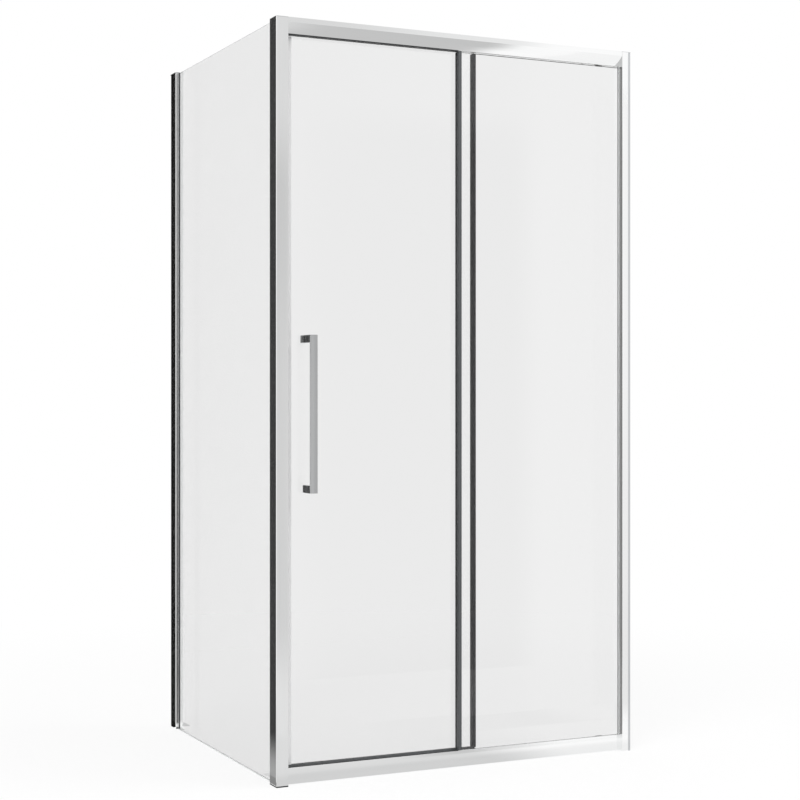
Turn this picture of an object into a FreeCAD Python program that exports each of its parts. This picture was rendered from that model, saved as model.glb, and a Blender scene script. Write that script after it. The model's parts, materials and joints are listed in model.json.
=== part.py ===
"""A framed corner shower enclosure: a sliding door, a fixed front pane and a side pane, in millimetres.

X runs along the front from the corner post to the side wall, Y from the front into the shower, Z upwards.
The origin is on the floor, in the middle of the enclosure's plan.
"""
import FreeCAD, Part
import math
import os
import re
import Sketcher

# Driving sizes
SIZES = {
    # Whole enclosure
    "enclosure_width": 1085.0,
    "enclosure_depth": 895.0,
    "enclosure_height": 2000.0,
    # Glass, with the fixed pane's distance behind the post's face and the side pane's from the post's middle
    "glass_thickness": 6.0,
    "glass_gasket": 1.5,
    "gasket_show": 1.0,
    "fixed_plane": 19.0,
    "side_offset": -3.0,
    "side_glass_drop": 1.5,
    "seal_rise": 0.5,
    # Corner post
    "post_width": 33.0,
    "profile_wall": 2.0,
    "post_slot_depth": 18.0,
    "cover_thickness": 1.5,
    "post_rounding": 1.5,
    "cap_thickness": 2.0,
    "foot_height": 3.5,
    "foot_plug": 4.5,
    "plug_length": 12.0,
    "plug_clearance": 0.2,
    # Wall channels and the jambs that slide over them
    "channel_wall": 2.0,
    "channel_gap": 6.5,
    "channel_lip": 8.5,
    "jamb_wall": 1.5,
    "jamb_rounding": 1.2,
    "slide_clearance": 0.3,
    "front_jamb_depth": 19.5,
    "front_slot_depth": 14.0,
    "side_jamb_depth": 44.5,
    "side_jamb_rounding": 0.5,
    "side_slot_depth": 11.0,
    "wall_hole_radius": 3.0,
    "outer_hole_margin": 150.0,
    "inner_hole_spacing": 600.0,
    # Screws
    "screw_radius": 1.75,
    "screw_clearance": 0.05,
    "screw_head_radius": 2.7,
    "screw_head_height": 1.8,
    "jamb_screw_length": 5.0,
    "jamb_screw_setback": 5.5,
    "rail_screw_length": 22.0,
    "screw_head_gap": 0.3,
    # Top rail
    "top_rail_height": 40.0,
    "rail_setback": 1.0,
    "nose_rise": 9.0,
    "nose_lip_wall": 1.5,
    "nose_radius": 160.0,
    "rail_slot_depth": 16.0,
    "rail_web": 2.5,
    "rail_rear_wall": 1.5,
    "ledge_thickness": 2.0,
    "door_slot_gap": 0.8,
    "top_port_height": 10.0,
    "top_filler_show": 3.0,
    # Bottom rail
    "bottom_rail_height": 45.0,
    "bottom_rail_skin": 2.0,
    "bottom_rail_bow": 320.0,
    "port_wall": 1.2,
    "rail_floor": 3.0,
    "rear_lip_height": 12.0,
    "filler_depth": 10.0,
    # Fixed pane's leading edge, with its distance from the middle of the front
    "fixed_edge_offset": 5.5,
    "fixed_edge_width": 9.4,
    "edge_wall": 2.0,
    "edge_rounding": 0.8,
    "lip_base_width": 6.0,
    "lip_base_height": 1.5,
    "lip_thickness": 1.5,
    "lip_gap": 0.3,
    # Sliding door
    "door_overlap": 49.8,
    "handle_stop_gap": 25.5,
    "door_rail_gap": 3.0,
    "door_profile_wall": 2.0,
    "door_profile_show": 3.7,
    "leading_width": 12.0,
    "trailing_width": 10.5,
    "trailing_nose": 9.0,
    "strip_width": 8.0,
    "strip_base": 2.0,
    "strip_nose_width": 5.0,
    "corner_strip": 5.7,
    "door_strip": 5.0,
    "magnet_gap": 0.3,
    "strip_end_gap": 1.0,
    "wiper_thickness": 1.2,
    "wiper_front_gap": 1.3,
    "wiper_gap": 1.0,
    # Rollers
    "roller_inset": 75.0,
    "wheel_radius": 11.5,
    "wheel_width": 6.5,
    "wheel_gap": 0.2,
    "wheel_side_gap": 0.3,
    "bearing_radius": 7.0,
    "journal_radius": 3.0,
    "journal_clearance": 0.05,
    "collar_radius": 5.5,
    "collar_thickness": 1.2,
    "clip_radius": 5.0,
    "clip_thickness": 1.0,
    "clip_gap": 0.7,
    "thread_radius": 4.0,
    "roller_hole_radius": 6.0,
    "roller_hole_margin": 9.0,
    "bush_clearance": 0.1,
    "nut_radius": 9.0,
    "nut_thickness": 0.8,
    # Bumpers that end the door's travel
    "bumper_length": 14.0,
    "bumper_height": 18.0,
    "bumper_gap": 0.5,
    "bumper_side_gap": 0.3,
    "bumper_screw_length": 9.0,
    # Bottom guides
    "guide_inset": 80.0,
    "shoe_width": 30.0,
    "shoe_floor_gap": 4.0,
    "shoe_rise": 2.5,
    "shoe_leg": 2.5,
    "shoe_clearance": 0.4,
    "shoe_bridge": 3.4,
    "release_travel": 6.0,
    "release_gap": 5.0,
    "housing_base": 1.1,
    "housing_wall": 2.0,
    "housing_gap": 0.3,
    "housing_ear": 9.0,
    "housing_drop": 5.0,
    "housing_top_gap": 1.0,
    "tab_width": 8.0,
    "tab_height": 5.0,
    "tab_reach": 7.0,
    "tab_rise": 4.5,
    # Handle
    "grip_inset": 46.5,
    "grip_width": 21.5,
    "grip_thickness": 4.0,
    "grip_length": 415.0,
    "grip_bottom": 760.0,
    "grip_rounding": 1.6,
    "standoff_length": 39.0,
    "standoff_height": 20.0,
    "handle_gasket": 1.0,
    "gasket_inset": 1.0,
    "handle_hole_radius": 6.0,
    "stud_radius": 3.0,
    "stud_reach": 20.0,
    "knob_length": 22.0,
    "knob_grip_depth": 12.0,
    "inner_cap_length": 5.0,
    "inner_cap_depth": 3.0,
    # How far a cutting shape runs past the face that it opens
    "overrun": 2.0,
}

# Shares of the enclosure's height at which the jamb screws sit
JAMB_SCREW_SHARES = (0.1, 0.5, 0.9)

# Places worked out from the driving sizes
PLACES = {
    "left": "-enclosure_width / 2",
    "front": "(handle_reach - enclosure_depth) / 2",
    "handle_reach": "grip_thickness + standoff_length + handle_gasket - door_plane",
    "slot_width": "glass_thickness + 2 * glass_gasket",
    "upright_top": "enclosure_height - cap_thickness",
    "side_plane": "post_width / 2 - glass_thickness / 2 + side_offset",
    "side_seal_height": "foot_height + seal_rise",
    "side_slot": "side_plane - glass_gasket",
    "side_slot_end": "side_slot + slot_width",
    "fixed_slot": "fixed_plane - glass_gasket",
    "fixed_slot_end": "fixed_slot + slot_width",
    "roller_stack": "clip_thickness + 2 * wheel_side_gap + wheel_width + collar_thickness",
    "door_plane": "track_wall + clip_gap + roller_stack",
    "post_depth": "door_back + housing_base + housing_gap - shoe_clearance",
    "post_slot_floor": "post_depth - post_slot_depth",
    "post_web": "post_slot_floor - profile_wall",
    "channel_inset": "jamb_wall + slide_clearance",
    "channel_depth": "channel_lip + front_jamb_depth - jamb_wall - channel_gap",
    "front_jamb_start": "enclosure_width - channel_lip - front_jamb_depth",
    "side_jamb_start": "enclosure_depth - channel_lip - side_jamb_depth",
    "rail_length": "front_jamb_start - post_width",
    "outer_hole_spacing": "enclosure_height - 2 * outer_hole_margin",
    "fixed_panel_start": "post_width + rail_length / 2 - fixed_edge_offset",
    "top_rail_start": "enclosure_height - top_rail_height",
    "nose_lip": "fixed_slot - nose_lip_wall",
    "nose_foot": "rail_slot_depth + profile_wall + nose_rise",
    "bottom_rail_setback": "fixed_slot - bottom_rail_skin",
    "bottom_rail_box": "right_port_setback + screw_hole + port_wall",
    "track_edge": "door_plane - door_slot_gap",
    "track_wall": "fixed_slot_end + rail_web",
    "track_top": "top_rail_start + ledge_thickness",
    "rail_rear": "post_depth - rail_rear_wall",
    "screw_hole": "screw_radius + screw_clearance",
    "top_port_setback": "fixed_slot - jamb_wall - screw_head_radius - screw_head_gap",
    "left_port_setback": "bottom_rail_setback + profile_wall + screw_hole",
    "right_port_setback": "fixed_slot_end + jamb_wall + screw_head_radius + screw_head_gap",
    "bottom_port_height": "foot_height + foot_plug + screw_head_radius + screw_head_gap",
    "bottom_boss_height": "bottom_port_height + screw_hole + profile_wall",
    "pane_bottom": "bottom_rail_height + gasket_show",
    "pane_top": "top_rail_start - gasket_show",
    "slot_floor": "bottom_rail_height - rail_slot_depth",
    "door_rear": "door_plane + glass_thickness",
    "door_leading": "post_width + corner_strip + magnet_gap + door_strip",
    "door_glass_start": "door_leading + door_profile_wall",
    "door_trailing": "fixed_panel_start + fixed_edge_width + door_overlap",
    "door_glass_end": "door_trailing - door_profile_wall",
    "door_face": "door_plane - door_profile_wall",
    "door_back": "door_rear + door_profile_wall",
    "door_profile_top": "bottom_rail_height + door_profile_show",
    "door_bottom": "bridge_top + release_travel + release_gap + wiper_thickness",
    "door_profile_height": "door_profile_top - door_bottom",
    "door_glass_top": "axle_level + roller_hole_radius + roller_hole_margin",
    "door_glass_bottom": "door_bottom + door_profile_wall",
    "door_side_top": "top_rail_start - door_rail_gap",
    "door_side_length": "door_side_top - door_profile_top",
    "strip_front": "door_plane + glass_thickness / 2 - strip_width / 2",
    "axle_level": "track_top + wheel_gap + wheel_radius",
    "roller_left": "door_glass_start + roller_inset",
    "roller_right": "door_glass_end - roller_inset",
    "wheel_rear": "door_plane - collar_thickness - wheel_side_gap",
    "wheel_front": "wheel_rear - wheel_width",
    "clip_front": "wheel_front - wheel_side_gap - clip_thickness",
    "guide_left": "door_leading + guide_inset",
    "guide_right": "door_trailing - guide_inset",
    "shoe_front": "rail_rear - shoe_clearance - shoe_leg",
    "plate_front": "post_depth + shoe_clearance",
    "plate_rear": "plate_front + shoe_leg",
    "shoe_bottom": "rail_floor + shoe_floor_gap",
    "shoe_top": "tab_level + tab_height + shoe_rise",
    "bridge_bottom": "rear_lip_height + shoe_clearance",
    "bridge_top": "bridge_bottom + shoe_bridge",
    "housing_bottom": "door_bottom - housing_drop",
    "tab_level": "housing_bottom + tab_rise",
    "guide_bolt_level": "door_bottom + door_profile_height / 2",
    "housing_inside": "door_back + housing_base",
    "guide_bolt_length": "housing_base + door_profile_wall",
    "housing_cover": "plate_rear + housing_gap",
    "housing_width": "shoe_width + 2 * housing_gap + 2 * housing_wall",
    "housing_ceiling": "shoe_top + release_travel + housing_top_gap",
    "grip_left": "door_glass_start + grip_inset",
    "grip_middle": "grip_left + grip_width / 2",
    "door_travel": "fixed_panel_start - handle_stop_gap - grip_left - grip_width",
    "standoff_front": "door_plane - handle_gasket - standoff_length",
    "lower_level": "grip_bottom + standoff_height / 2",
    "upper_level": "grip_bottom + grip_length - standoff_height / 2",
    "inner_front": "door_rear + handle_gasket",
}

# Two points closer than this, in millimetres, are the same place
SAME_PLACE = 0.001

# Section planes, with the point's two coordinates in each
SECTION_AXES = {"XY_Plane": ("x", "y"), "YZ_Plane": ("y", "z")}

# Turns that lay a rod along an axis
ROD_TURNS = {
    "x": FreeCAD.Rotation(FreeCAD.Vector(0, 1, 0), 90),
    "y": FreeCAD.Rotation(FreeCAD.Vector(1, 0, 0), -90),
    "z": FreeCAD.Rotation(),
}

doc = FreeCAD.newDocument("shower_enclosure")
sheet = doc.addObject("Spreadsheet::Sheet", "Sizes")
for row, (size_name, size_value) in enumerate(SIZES.items(), 1):
    sheet.set(f"A{row}", size_name)
    sheet.set(f"B{row}", str(size_value))
    sheet.setAlias(f"B{row}", size_name)
doc.recompute()

finished = []


def formula(text):
    """Write the names of sizes and places in a text as an expression on the sheet."""

    def spell(match):
        name = match.group(0)
        if name in PLACES:
            return "(" + formula(PLACES[name]) + ")"
        return "Sizes." + name

    return re.sub(r"[a-z_]+", spell, text)


def number(text):
    """The value of a formula with the sheet as it stands."""
    return float(sheet.evalExpression(formula(text)))


def bind(item, field, text):
    """Tie a property to a formula."""
    item.setExpression(field, formula(text))


def place(item, at):
    """Tie an object's position to three formulas."""
    for axis, text in zip("xyz", at):
        bind(item, "Placement.Base." + axis, text)


def keep(item):
    """Count an object among the enclosure's pieces."""
    finished.append(item)
    return item


def block(name, size, at):
    """A rectangular solid from its lowest corner."""
    item = doc.addObject("Part::Box", name)
    for field, text in zip(("Length", "Width", "Height"), size):
        bind(item, field, text)
    place(item, at)
    return item


def rod(name, radius, length, at, axis):
    """A cylinder that starts at a point and runs along an axis."""
    item = doc.addObject("Part::Cylinder", name)
    item.Placement = FreeCAD.Placement(FreeCAD.Vector(), ROD_TURNS[axis])
    bind(item, "Radius", radius)
    bind(item, "Height", length)
    place(item, at)
    return item


def join(name, pieces):
    """One solid from several that touch or overlap."""
    item = doc.addObject("Part::MultiFuse", name)
    item.Shapes = pieces
    item.Refine = True
    return item


def group(name, pieces):
    """Several separate solids kept as one piece."""
    item = doc.addObject("Part::Compound", name)
    item.Links = pieces
    return item


def cut(name, base, tools):
    """A solid with tools taken out of it."""
    item = doc.addObject("Part::Cut", name)
    item.Base = base
    item.Tool = tools[0] if len(tools) == 1 else group(name + "_tools", tools)
    return item


def bowed(start, end, radius):
    """The arc from start to end that swells to the right of that direction."""
    chord = end - start
    half = chord.Length / 2
    leftward = FreeCAD.Vector(-chord.y, chord.x, 0).normalize()
    centre = start + chord / 2 + leftward * math.sqrt(radius**2 - half**2)
    angles = [math.atan2(p.y - centre.y, p.x - centre.x) for p in (start, end)]
    return Part.ArcOfCircle(Part.Circle(centre, FreeCAD.Vector(0, 0, 1), radius), *angles)


def draw(sketch, corners):
    """Draw one closed loop, counter-clockwise, with every corner fixed by the sheet.

    A corner is two formulas. A third one bows the edge that follows, with that radius.
    """
    points = [FreeCAD.Vector(number(corner[0]), number(corner[1]), 0) for corner in corners]
    first = sketch.GeometryCount
    for start, end, corner in zip(points, points[1:] + points[:1], corners):
        if len(corner) > 2:
            sketch.addGeometry(bowed(start, end, number(corner[2])))
        else:
            sketch.addGeometry(Part.LineSegment(start, end))
    for index, corner in enumerate(corners):
        edge = first + index
        following = first + (index + 1) % len(corners)
        sketch.addConstraint(Sketcher.Constraint("Coincident", edge, 2, following, 1))
        for kind, axis, text in (("DistanceX", -2, corner[0]), ("DistanceY", -1, corner[1])):
            if text == "0":
                sketch.addConstraint(Sketcher.Constraint("PointOnObject", edge, 1, axis))
                continue
            line = sketch.addConstraint(Sketcher.Constraint(kind, -1, 1, edge, 1, number(text)))
            bind(sketch, f"Constraints[{line}]", text)
        if len(corner) > 2:
            line = sketch.addConstraint(Sketcher.Constraint("Radius", edge, number(corner[2])))
            bind(sketch, f"Constraints[{line}]", corner[2])


def runs_through(edge, plane, point):
    """Whether an edge runs the profile's length through a point of its section."""
    ends = [[getattr(vertex.Point, axis) for axis in SECTION_AXES[plane]] for vertex in edge.Vertexes]
    return len(ends) == 2 and all(math.dist(end, point) < SAME_PLACE for end in ends)


def round_edges(body, plane, radius, corners):
    """Round the long edges of a profile at the given corners of its section."""
    doc.recompute()
    profile_feature = body.Tip
    points = [(number(u), number(v)) for u, v in corners]
    names = [
        f"Edge{index}"
        for index, edge in enumerate(profile_feature.Shape.Edges, 1)
        if any(runs_through(edge, plane, point) for point in points)
    ]
    rounding = body.newObject("PartDesign::Fillet", body.Name + "_rounding")
    rounding.Base = (profile_feature, names)
    bind(rounding, "Radius", radius)


def profile(name, plane, at, length, outline, hollows=()):
    """A section drawn on one of the body's planes and drawn out to a length."""
    body = doc.addObject("PartDesign::Body", name)
    sketch = body.newObject("Sketcher::SketchObject", name + "_section")
    section_plane = next(f for f in body.Origin.OriginFeatures if f.Role == plane)
    sketch.AttachmentSupport = [(section_plane, "")]
    sketch.MapMode = "FlatFace"
    for loop in (outline, *hollows):
        draw(sketch, loop)
    pad = body.newObject("PartDesign::Pad", name + "_length")
    pad.Profile = sketch
    bind(pad, "Length", length)
    place(body, at)
    return body


def rectangle(left, low, right, high):
    """The corners of an upright rectangle."""
    return [(left, low), (right, low), (right, high), (left, high)]


def trough(width, depth, wall):
    """A U-shaped section that opens towards its second axis."""
    return [
        ("0", "0"),
        (width, "0"),
        (width, depth),
        (f"{width} - {wall}", depth),
        (f"{width} - {wall}", wall),
        (wall, wall),
        (wall, depth),
        ("0", depth),
    ]


def lid(width, depth, wall):
    """A U-shaped section that opens back along its second axis."""
    return [
        ("0", "0"),
        (wall, "0"),
        (wall, f"{depth} - {wall}"),
        (f"{width} - {wall}", f"{depth} - {wall}"),
        (f"{width} - {wall}", "0"),
        (width, "0"),
        (width, depth),
        ("0", depth),
    ]


def clasp(width, depth, wall):
    """A U-shaped section that opens towards its first axis."""
    return [
        ("0", "0"),
        (width, "0"),
        (width, wall),
        (wall, wall),
        (wall, f"{depth} - {wall}"),
        (width, f"{depth} - {wall}"),
        (width, depth),
        ("0", depth),
    ]


def hook(width, depth, wall):
    """A U-shaped section that opens back along its first axis."""
    return [
        ("0", "0"),
        (width, "0"),
        (width, depth),
        ("0", depth),
        ("0", f"{depth} - {wall}"),
        (f"{width} - {wall}", f"{depth} - {wall}"),
        (f"{width} - {wall}", wall),
        ("0", wall),
    ]


def screw(name, length, at, axis, inward):
    """A pan-head screw whose head sits at a point and whose shank runs inward along an axis."""
    where = dict(zip("xyz", at))
    head_at = dict(where)
    shank_at = dict(where)
    if inward > 0:
        head_at[axis] = f"{where[axis]} - screw_head_height"
    else:
        shank_at[axis] = f"{where[axis]} - {length}"
    head = rod(name + "_head", "screw_head_radius", "screw_head_height", head_at.values(), axis)
    shank = rod(name + "_shank", "screw_radius", length, shank_at.values(), axis)
    return join(name, [head, shank])


def corner_pieces():
    """The post between front and side, with its snap-on cover, cap, foot and magnet strip."""
    upright = "upright_top - foot_height"
    right_wall = "post_width - profile_wall"
    left_wall = "cover_thickness + profile_wall"
    rear_wall = "post_depth - profile_wall"
    post = profile(
        "corner_post_blank",
        "XY_Plane",
        ("left", "front", "foot_height"),
        upright,
        [
            ("cover_thickness", "cover_thickness"),
            (left_wall, "cover_thickness"),
            (left_wall, "post_web"),
            (right_wall, "post_web"),
            (right_wall, "cover_thickness"),
            ("post_width", "cover_thickness"),
            ("post_width", "post_depth"),
            ("side_slot_end", "post_depth"),
            ("side_slot_end", "post_slot_floor"),
            ("side_slot", "post_slot_floor"),
            ("side_slot", "post_depth"),
            ("cover_thickness", "post_depth"),
        ],
        [
            rectangle(left_wall, "post_slot_floor", "side_slot - profile_wall", rear_wall),
            rectangle("side_slot_end + profile_wall", "post_slot_floor", right_wall, rear_wall),
        ],
    )
    round_edges(post, "XY_Plane", "post_rounding", [("cover_thickness", "cover_thickness")])
    through = "profile_wall + 2 * overrun"
    start = "left + post_width - profile_wall - overrun"
    top_hole = rod(
        "corner_post_top_hole",
        "screw_hole",
        through,
        (start, "front + top_port_setback", "top_rail_start + top_port_height"),
        "x",
    )
    bottom_hole = rod(
        "corner_post_bottom_hole",
        "screw_hole",
        through,
        (start, "front + left_port_setback", "bottom_port_height"),
        "x",
    )
    keep(cut("corner_post", post, [top_hole, bottom_hole]))

    cover = profile(
        "corner_cover",
        "XY_Plane",
        ("left", "front", "foot_height"),
        upright,
        [
            ("0", "0"),
            ("post_width", "0"),
            ("post_width", "cover_thickness"),
            ("cover_thickness", "cover_thickness"),
            ("cover_thickness", "post_depth"),
            ("0", "post_depth"),
        ],
    )
    cover_rounding = "post_rounding + cover_thickness"
    round_edges(cover, "XY_Plane", cover_rounding, [("0", "0")])
    round_edges(cover, "XY_Plane", "post_rounding", [("cover_thickness", "cover_thickness")])
    keep(cover)

    plug_size = (
        "post_width - cover_thickness - 2 * profile_wall - 2 * plug_clearance",
        "post_web - cover_thickness - 2 * plug_clearance",
        "plug_length",
    )
    plug_left = "left + cover_thickness + profile_wall + plug_clearance"
    plug_front = "front + cover_thickness + plug_clearance"
    plate = rectangle("0", "0", "post_width", "post_depth")
    cap_at = ("left", "front", "upright_top")
    cap_plate = profile("corner_cap_plate", "XY_Plane", cap_at, "cap_thickness", plate)
    round_edges(cap_plate, "XY_Plane", cover_rounding, [("0", "0")])
    cap_plug = block("corner_cap_plug", plug_size, (plug_left, plug_front, "upright_top - plug_length"))
    keep(join("corner_cap", [cap_plate, cap_plug]))
    foot_plate = profile("corner_foot_plate", "XY_Plane", ("left", "front", "0"), "foot_height", plate)
    round_edges(foot_plate, "XY_Plane", cover_rounding, [("0", "0")])
    foot_plug = block(
        "corner_foot_plug",
        (plug_size[0], plug_size[1], "foot_height + foot_plug"),
        (plug_left, plug_front, "0"),
    )
    keep(join("corner_foot", [foot_plate, foot_plug]))

    shoulder = "strip_width / 2 - strip_nose_width / 2"
    keep(
        profile(
            "corner_magnet_strip",
            "XY_Plane",
            ("left + post_width", "front + strip_front", "bottom_rail_height + strip_end_gap"),
            "top_rail_start - bottom_rail_height - 2 * strip_end_gap",
            [
                ("0", "0"),
                ("strip_base", "0"),
                ("strip_base", shoulder),
                ("corner_strip", shoulder),
                ("corner_strip", f"strip_width - ({shoulder})"),
                ("strip_base", f"strip_width - ({shoulder})"),
                ("strip_base", "strip_width"),
                ("0", "strip_width"),
            ],
        )
    )


def side_pieces():
    """The side pane with its gaskets and bottom seal, and the channel and jamb on the rear wall."""
    pane_front = "post_slot_floor + glass_gasket"
    pane_rear = "side_jamb_start + side_slot_depth - glass_gasket"
    pane_height = "upright_top - side_glass_drop - side_seal_height"
    keep(
        block(
            "side_glass",
            ("glass_thickness", f"{pane_rear} - ({pane_front})", pane_height),
            ("left + side_plane", f"front + {pane_front}", "side_seal_height"),
        )
    )
    post_gasket = profile(
        "side_gasket_post",
        "XY_Plane",
        ("left + side_slot", "front + post_slot_floor", "side_seal_height"),
        pane_height,
        trough("slot_width", "(post_slot_depth + gasket_show)", "glass_gasket"),
    )
    jamb_gasket = profile(
        "side_gasket_jamb",
        "XY_Plane",
        ("left + side_slot", "front + side_jamb_start - gasket_show", "side_seal_height"),
        pane_height,
        lid("slot_width", "(side_slot_depth + gasket_show)", "glass_gasket"),
    )
    keep(group("side_gaskets", [post_gasket, jamb_gasket]))
    keep(
        block(
            "side_bottom_seal",
            ("glass_thickness", "side_jamb_start - post_depth", "side_seal_height"),
            ("left + side_plane", "front + post_depth", "0"),
        )
    )

    inner_side = "post_width - jamb_wall"
    slot_left = "side_slot - jamb_wall"
    slot_right = "side_slot_end + jamb_wall"
    jamb = profile(
        "side_jamb_blank",
        "XY_Plane",
        ("left", "front + side_jamb_start", "0"),
        "upright_top",
        [
            ("0", "0"),
            ("side_slot", "0"),
            ("side_slot", "side_slot_depth"),
            ("side_slot_end", "side_slot_depth"),
            ("side_slot_end", "0"),
            ("post_width", "0"),
            ("post_width", "side_jamb_depth"),
            (inner_side, "side_jamb_depth"),
            (inner_side, "jamb_wall"),
            (slot_right, "jamb_wall"),
            (slot_right, "side_slot_depth + jamb_wall"),
            (slot_left, "side_slot_depth + jamb_wall"),
            (slot_left, "jamb_wall"),
            ("jamb_wall", "jamb_wall"),
            ("jamb_wall", "side_jamb_depth"),
            ("0", "side_jamb_depth"),
        ],
    )
    outer_corners = [("0", "0"), ("post_width", "0")]
    inner_corners = [("jamb_wall", "jamb_wall"), (inner_side, "jamb_wall")]
    outer_rounding = "side_jamb_rounding + jamb_wall"
    round_edges(jamb, "XY_Plane", outer_rounding, outer_corners)
    round_edges(jamb, "XY_Plane", "side_jamb_rounding", inner_corners)
    channel_width = "(post_width - 2 * channel_inset)"
    channel = profile(
        "side_wall_channel_blank",
        "XY_Plane",
        ("left + channel_inset", "front + enclosure_depth - channel_depth", "0"),
        "upright_top",
        lid(channel_width, "channel_depth", "channel_wall"),
    )
    screw_y = "front + side_jamb_start + side_jamb_depth - jamb_screw_setback"
    screws = []
    jamb_tools = []
    channel_tools = []
    for index, share in enumerate(JAMB_SCREW_SHARES):
        level = f"enclosure_height * {share}"
        at = ("left + post_width", screw_y, level)
        screws.append(screw(f"side_jamb_screw_{index}", "jamb_screw_length", at, "x", -1))
        hole_at = ("left + post_width - jamb_screw_length - overrun", screw_y, level)
        hole_length = "jamb_screw_length + 2 * overrun"
        jamb_tools.append(rod(f"side_jamb_hole_{index}", "screw_hole", hole_length, hole_at, "x"))
        channel_tools.append(rod(f"side_channel_hole_{index}", "screw_hole", hole_length, hole_at, "x"))
    for index, offset in enumerate(wall_hole_offsets()):
        hole_at = (
            "left + post_width / 2",
            "front + enclosure_depth - channel_wall - overrun",
            f"enclosure_height / 2 + {offset}",
        )
        hole_length = "channel_wall + 2 * overrun"
        channel_tools.append(rod(f"side_wall_hole_{index}", "wall_hole_radius", hole_length, hole_at, "y"))
    keep(cut("side_jamb", jamb, jamb_tools))
    keep(cut("side_wall_channel", channel, channel_tools))
    keep(group("side_jamb_screws", screws))
    cap = profile(
        "side_wall_cap",
        "XY_Plane",
        ("left", "front + side_jamb_start", "upright_top"),
        "cap_thickness",
        rectangle("0", "0", "post_width", "enclosure_depth - side_jamb_start"),
    )
    round_edges(cap, "XY_Plane", outer_rounding, outer_corners)
    keep(cap)


def wall_hole_offsets():
    """Distances of a wall channel's four screw holes from its middle."""
    halves = ("outer_hole_spacing / 2", "inner_hole_spacing / 2")
    return [sign + half for half in halves for sign in ("", "-")]


def front_wall_pieces():
    """The channel on the side wall and the jamb that slides over it and holds the fixed pane."""
    rear_side = "post_depth - jamb_wall"
    slot_front = "fixed_slot - jamb_wall"
    slot_rear = "fixed_slot_end + jamb_wall"
    slot_back = "front_slot_depth + jamb_wall"
    jamb = profile(
        "front_jamb_blank",
        "XY_Plane",
        ("left + front_jamb_start", "front", "0"),
        "upright_top",
        [
            ("0", "0"),
            ("front_jamb_depth", "0"),
            ("front_jamb_depth", "jamb_wall"),
            ("jamb_wall", "jamb_wall"),
            ("jamb_wall", slot_front),
            (slot_back, slot_front),
            (slot_back, slot_rear),
            ("jamb_wall", slot_rear),
            ("jamb_wall", rear_side),
            ("front_jamb_depth", rear_side),
            ("front_jamb_depth", "post_depth"),
            ("0", "post_depth"),
            ("0", "fixed_slot_end"),
            ("front_slot_depth", "fixed_slot_end"),
            ("front_slot_depth", "fixed_slot"),
            ("0", "fixed_slot"),
        ],
    )
    round_edges(jamb, "XY_Plane", "jamb_rounding", [("0", "0"), ("0", "post_depth")])
    channel_width = "(post_depth - 2 * channel_inset)"
    channel = profile(
        "front_wall_channel_blank",
        "XY_Plane",
        ("left + enclosure_width - channel_depth", "front + channel_inset", "0"),
        "upright_top",
        hook("channel_depth", channel_width, "channel_wall"),
    )
    screw_x = "left + front_jamb_start + front_jamb_depth - jamb_screw_setback"
    screws = []
    jamb_tools = []
    channel_tools = []
    for index, share in enumerate(JAMB_SCREW_SHARES):
        level = f"enclosure_height * {share}"
        at = (screw_x, "front + post_depth", level)
        screws.append(screw(f"front_jamb_screw_{index}", "jamb_screw_length", at, "y", -1))
        hole_at = (screw_x, "front + post_depth - jamb_screw_length - overrun", level)
        hole_length = "jamb_screw_length + 2 * overrun"
        jamb_tools.append(rod(f"front_jamb_hole_{index}", "screw_hole", hole_length, hole_at, "y"))
        channel_tools.append(rod(f"front_channel_hole_{index}", "screw_hole", hole_length, hole_at, "y"))
    for index, offset in enumerate(wall_hole_offsets()):
        hole_at = (
            "left + enclosure_width - channel_wall - overrun",
            "front + post_depth / 2",
            f"enclosure_height / 2 + {offset}",
        )
        hole_length = "channel_wall + 2 * overrun"
        channel_tools.append(rod(f"front_wall_hole_{index}", "wall_hole_radius", hole_length, hole_at, "x"))
    start = "left + front_jamb_start - overrun"
    through = "jamb_wall + 2 * overrun"
    top_at = (start, "front + top_port_setback", "top_rail_start + top_port_height")
    jamb_tools.append(rod("front_jamb_top_hole", "screw_hole", through, top_at, "x"))
    bottom_at = (start, "front + right_port_setback", "bottom_port_height")
    jamb_tools.append(rod("front_jamb_bottom_hole", "screw_hole", through, bottom_at, "x"))
    keep(cut("front_jamb", jamb, jamb_tools))
    keep(cut("front_wall_channel", channel, channel_tools))
    keep(group("front_jamb_screws", screws))
    keep(
        block(
            "front_wall_cap",
            ("enclosure_width - front_jamb_start", "post_depth", "cap_thickness"),
            ("left + front_jamb_start", "front", "upright_top"),
        )
    )


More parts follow.
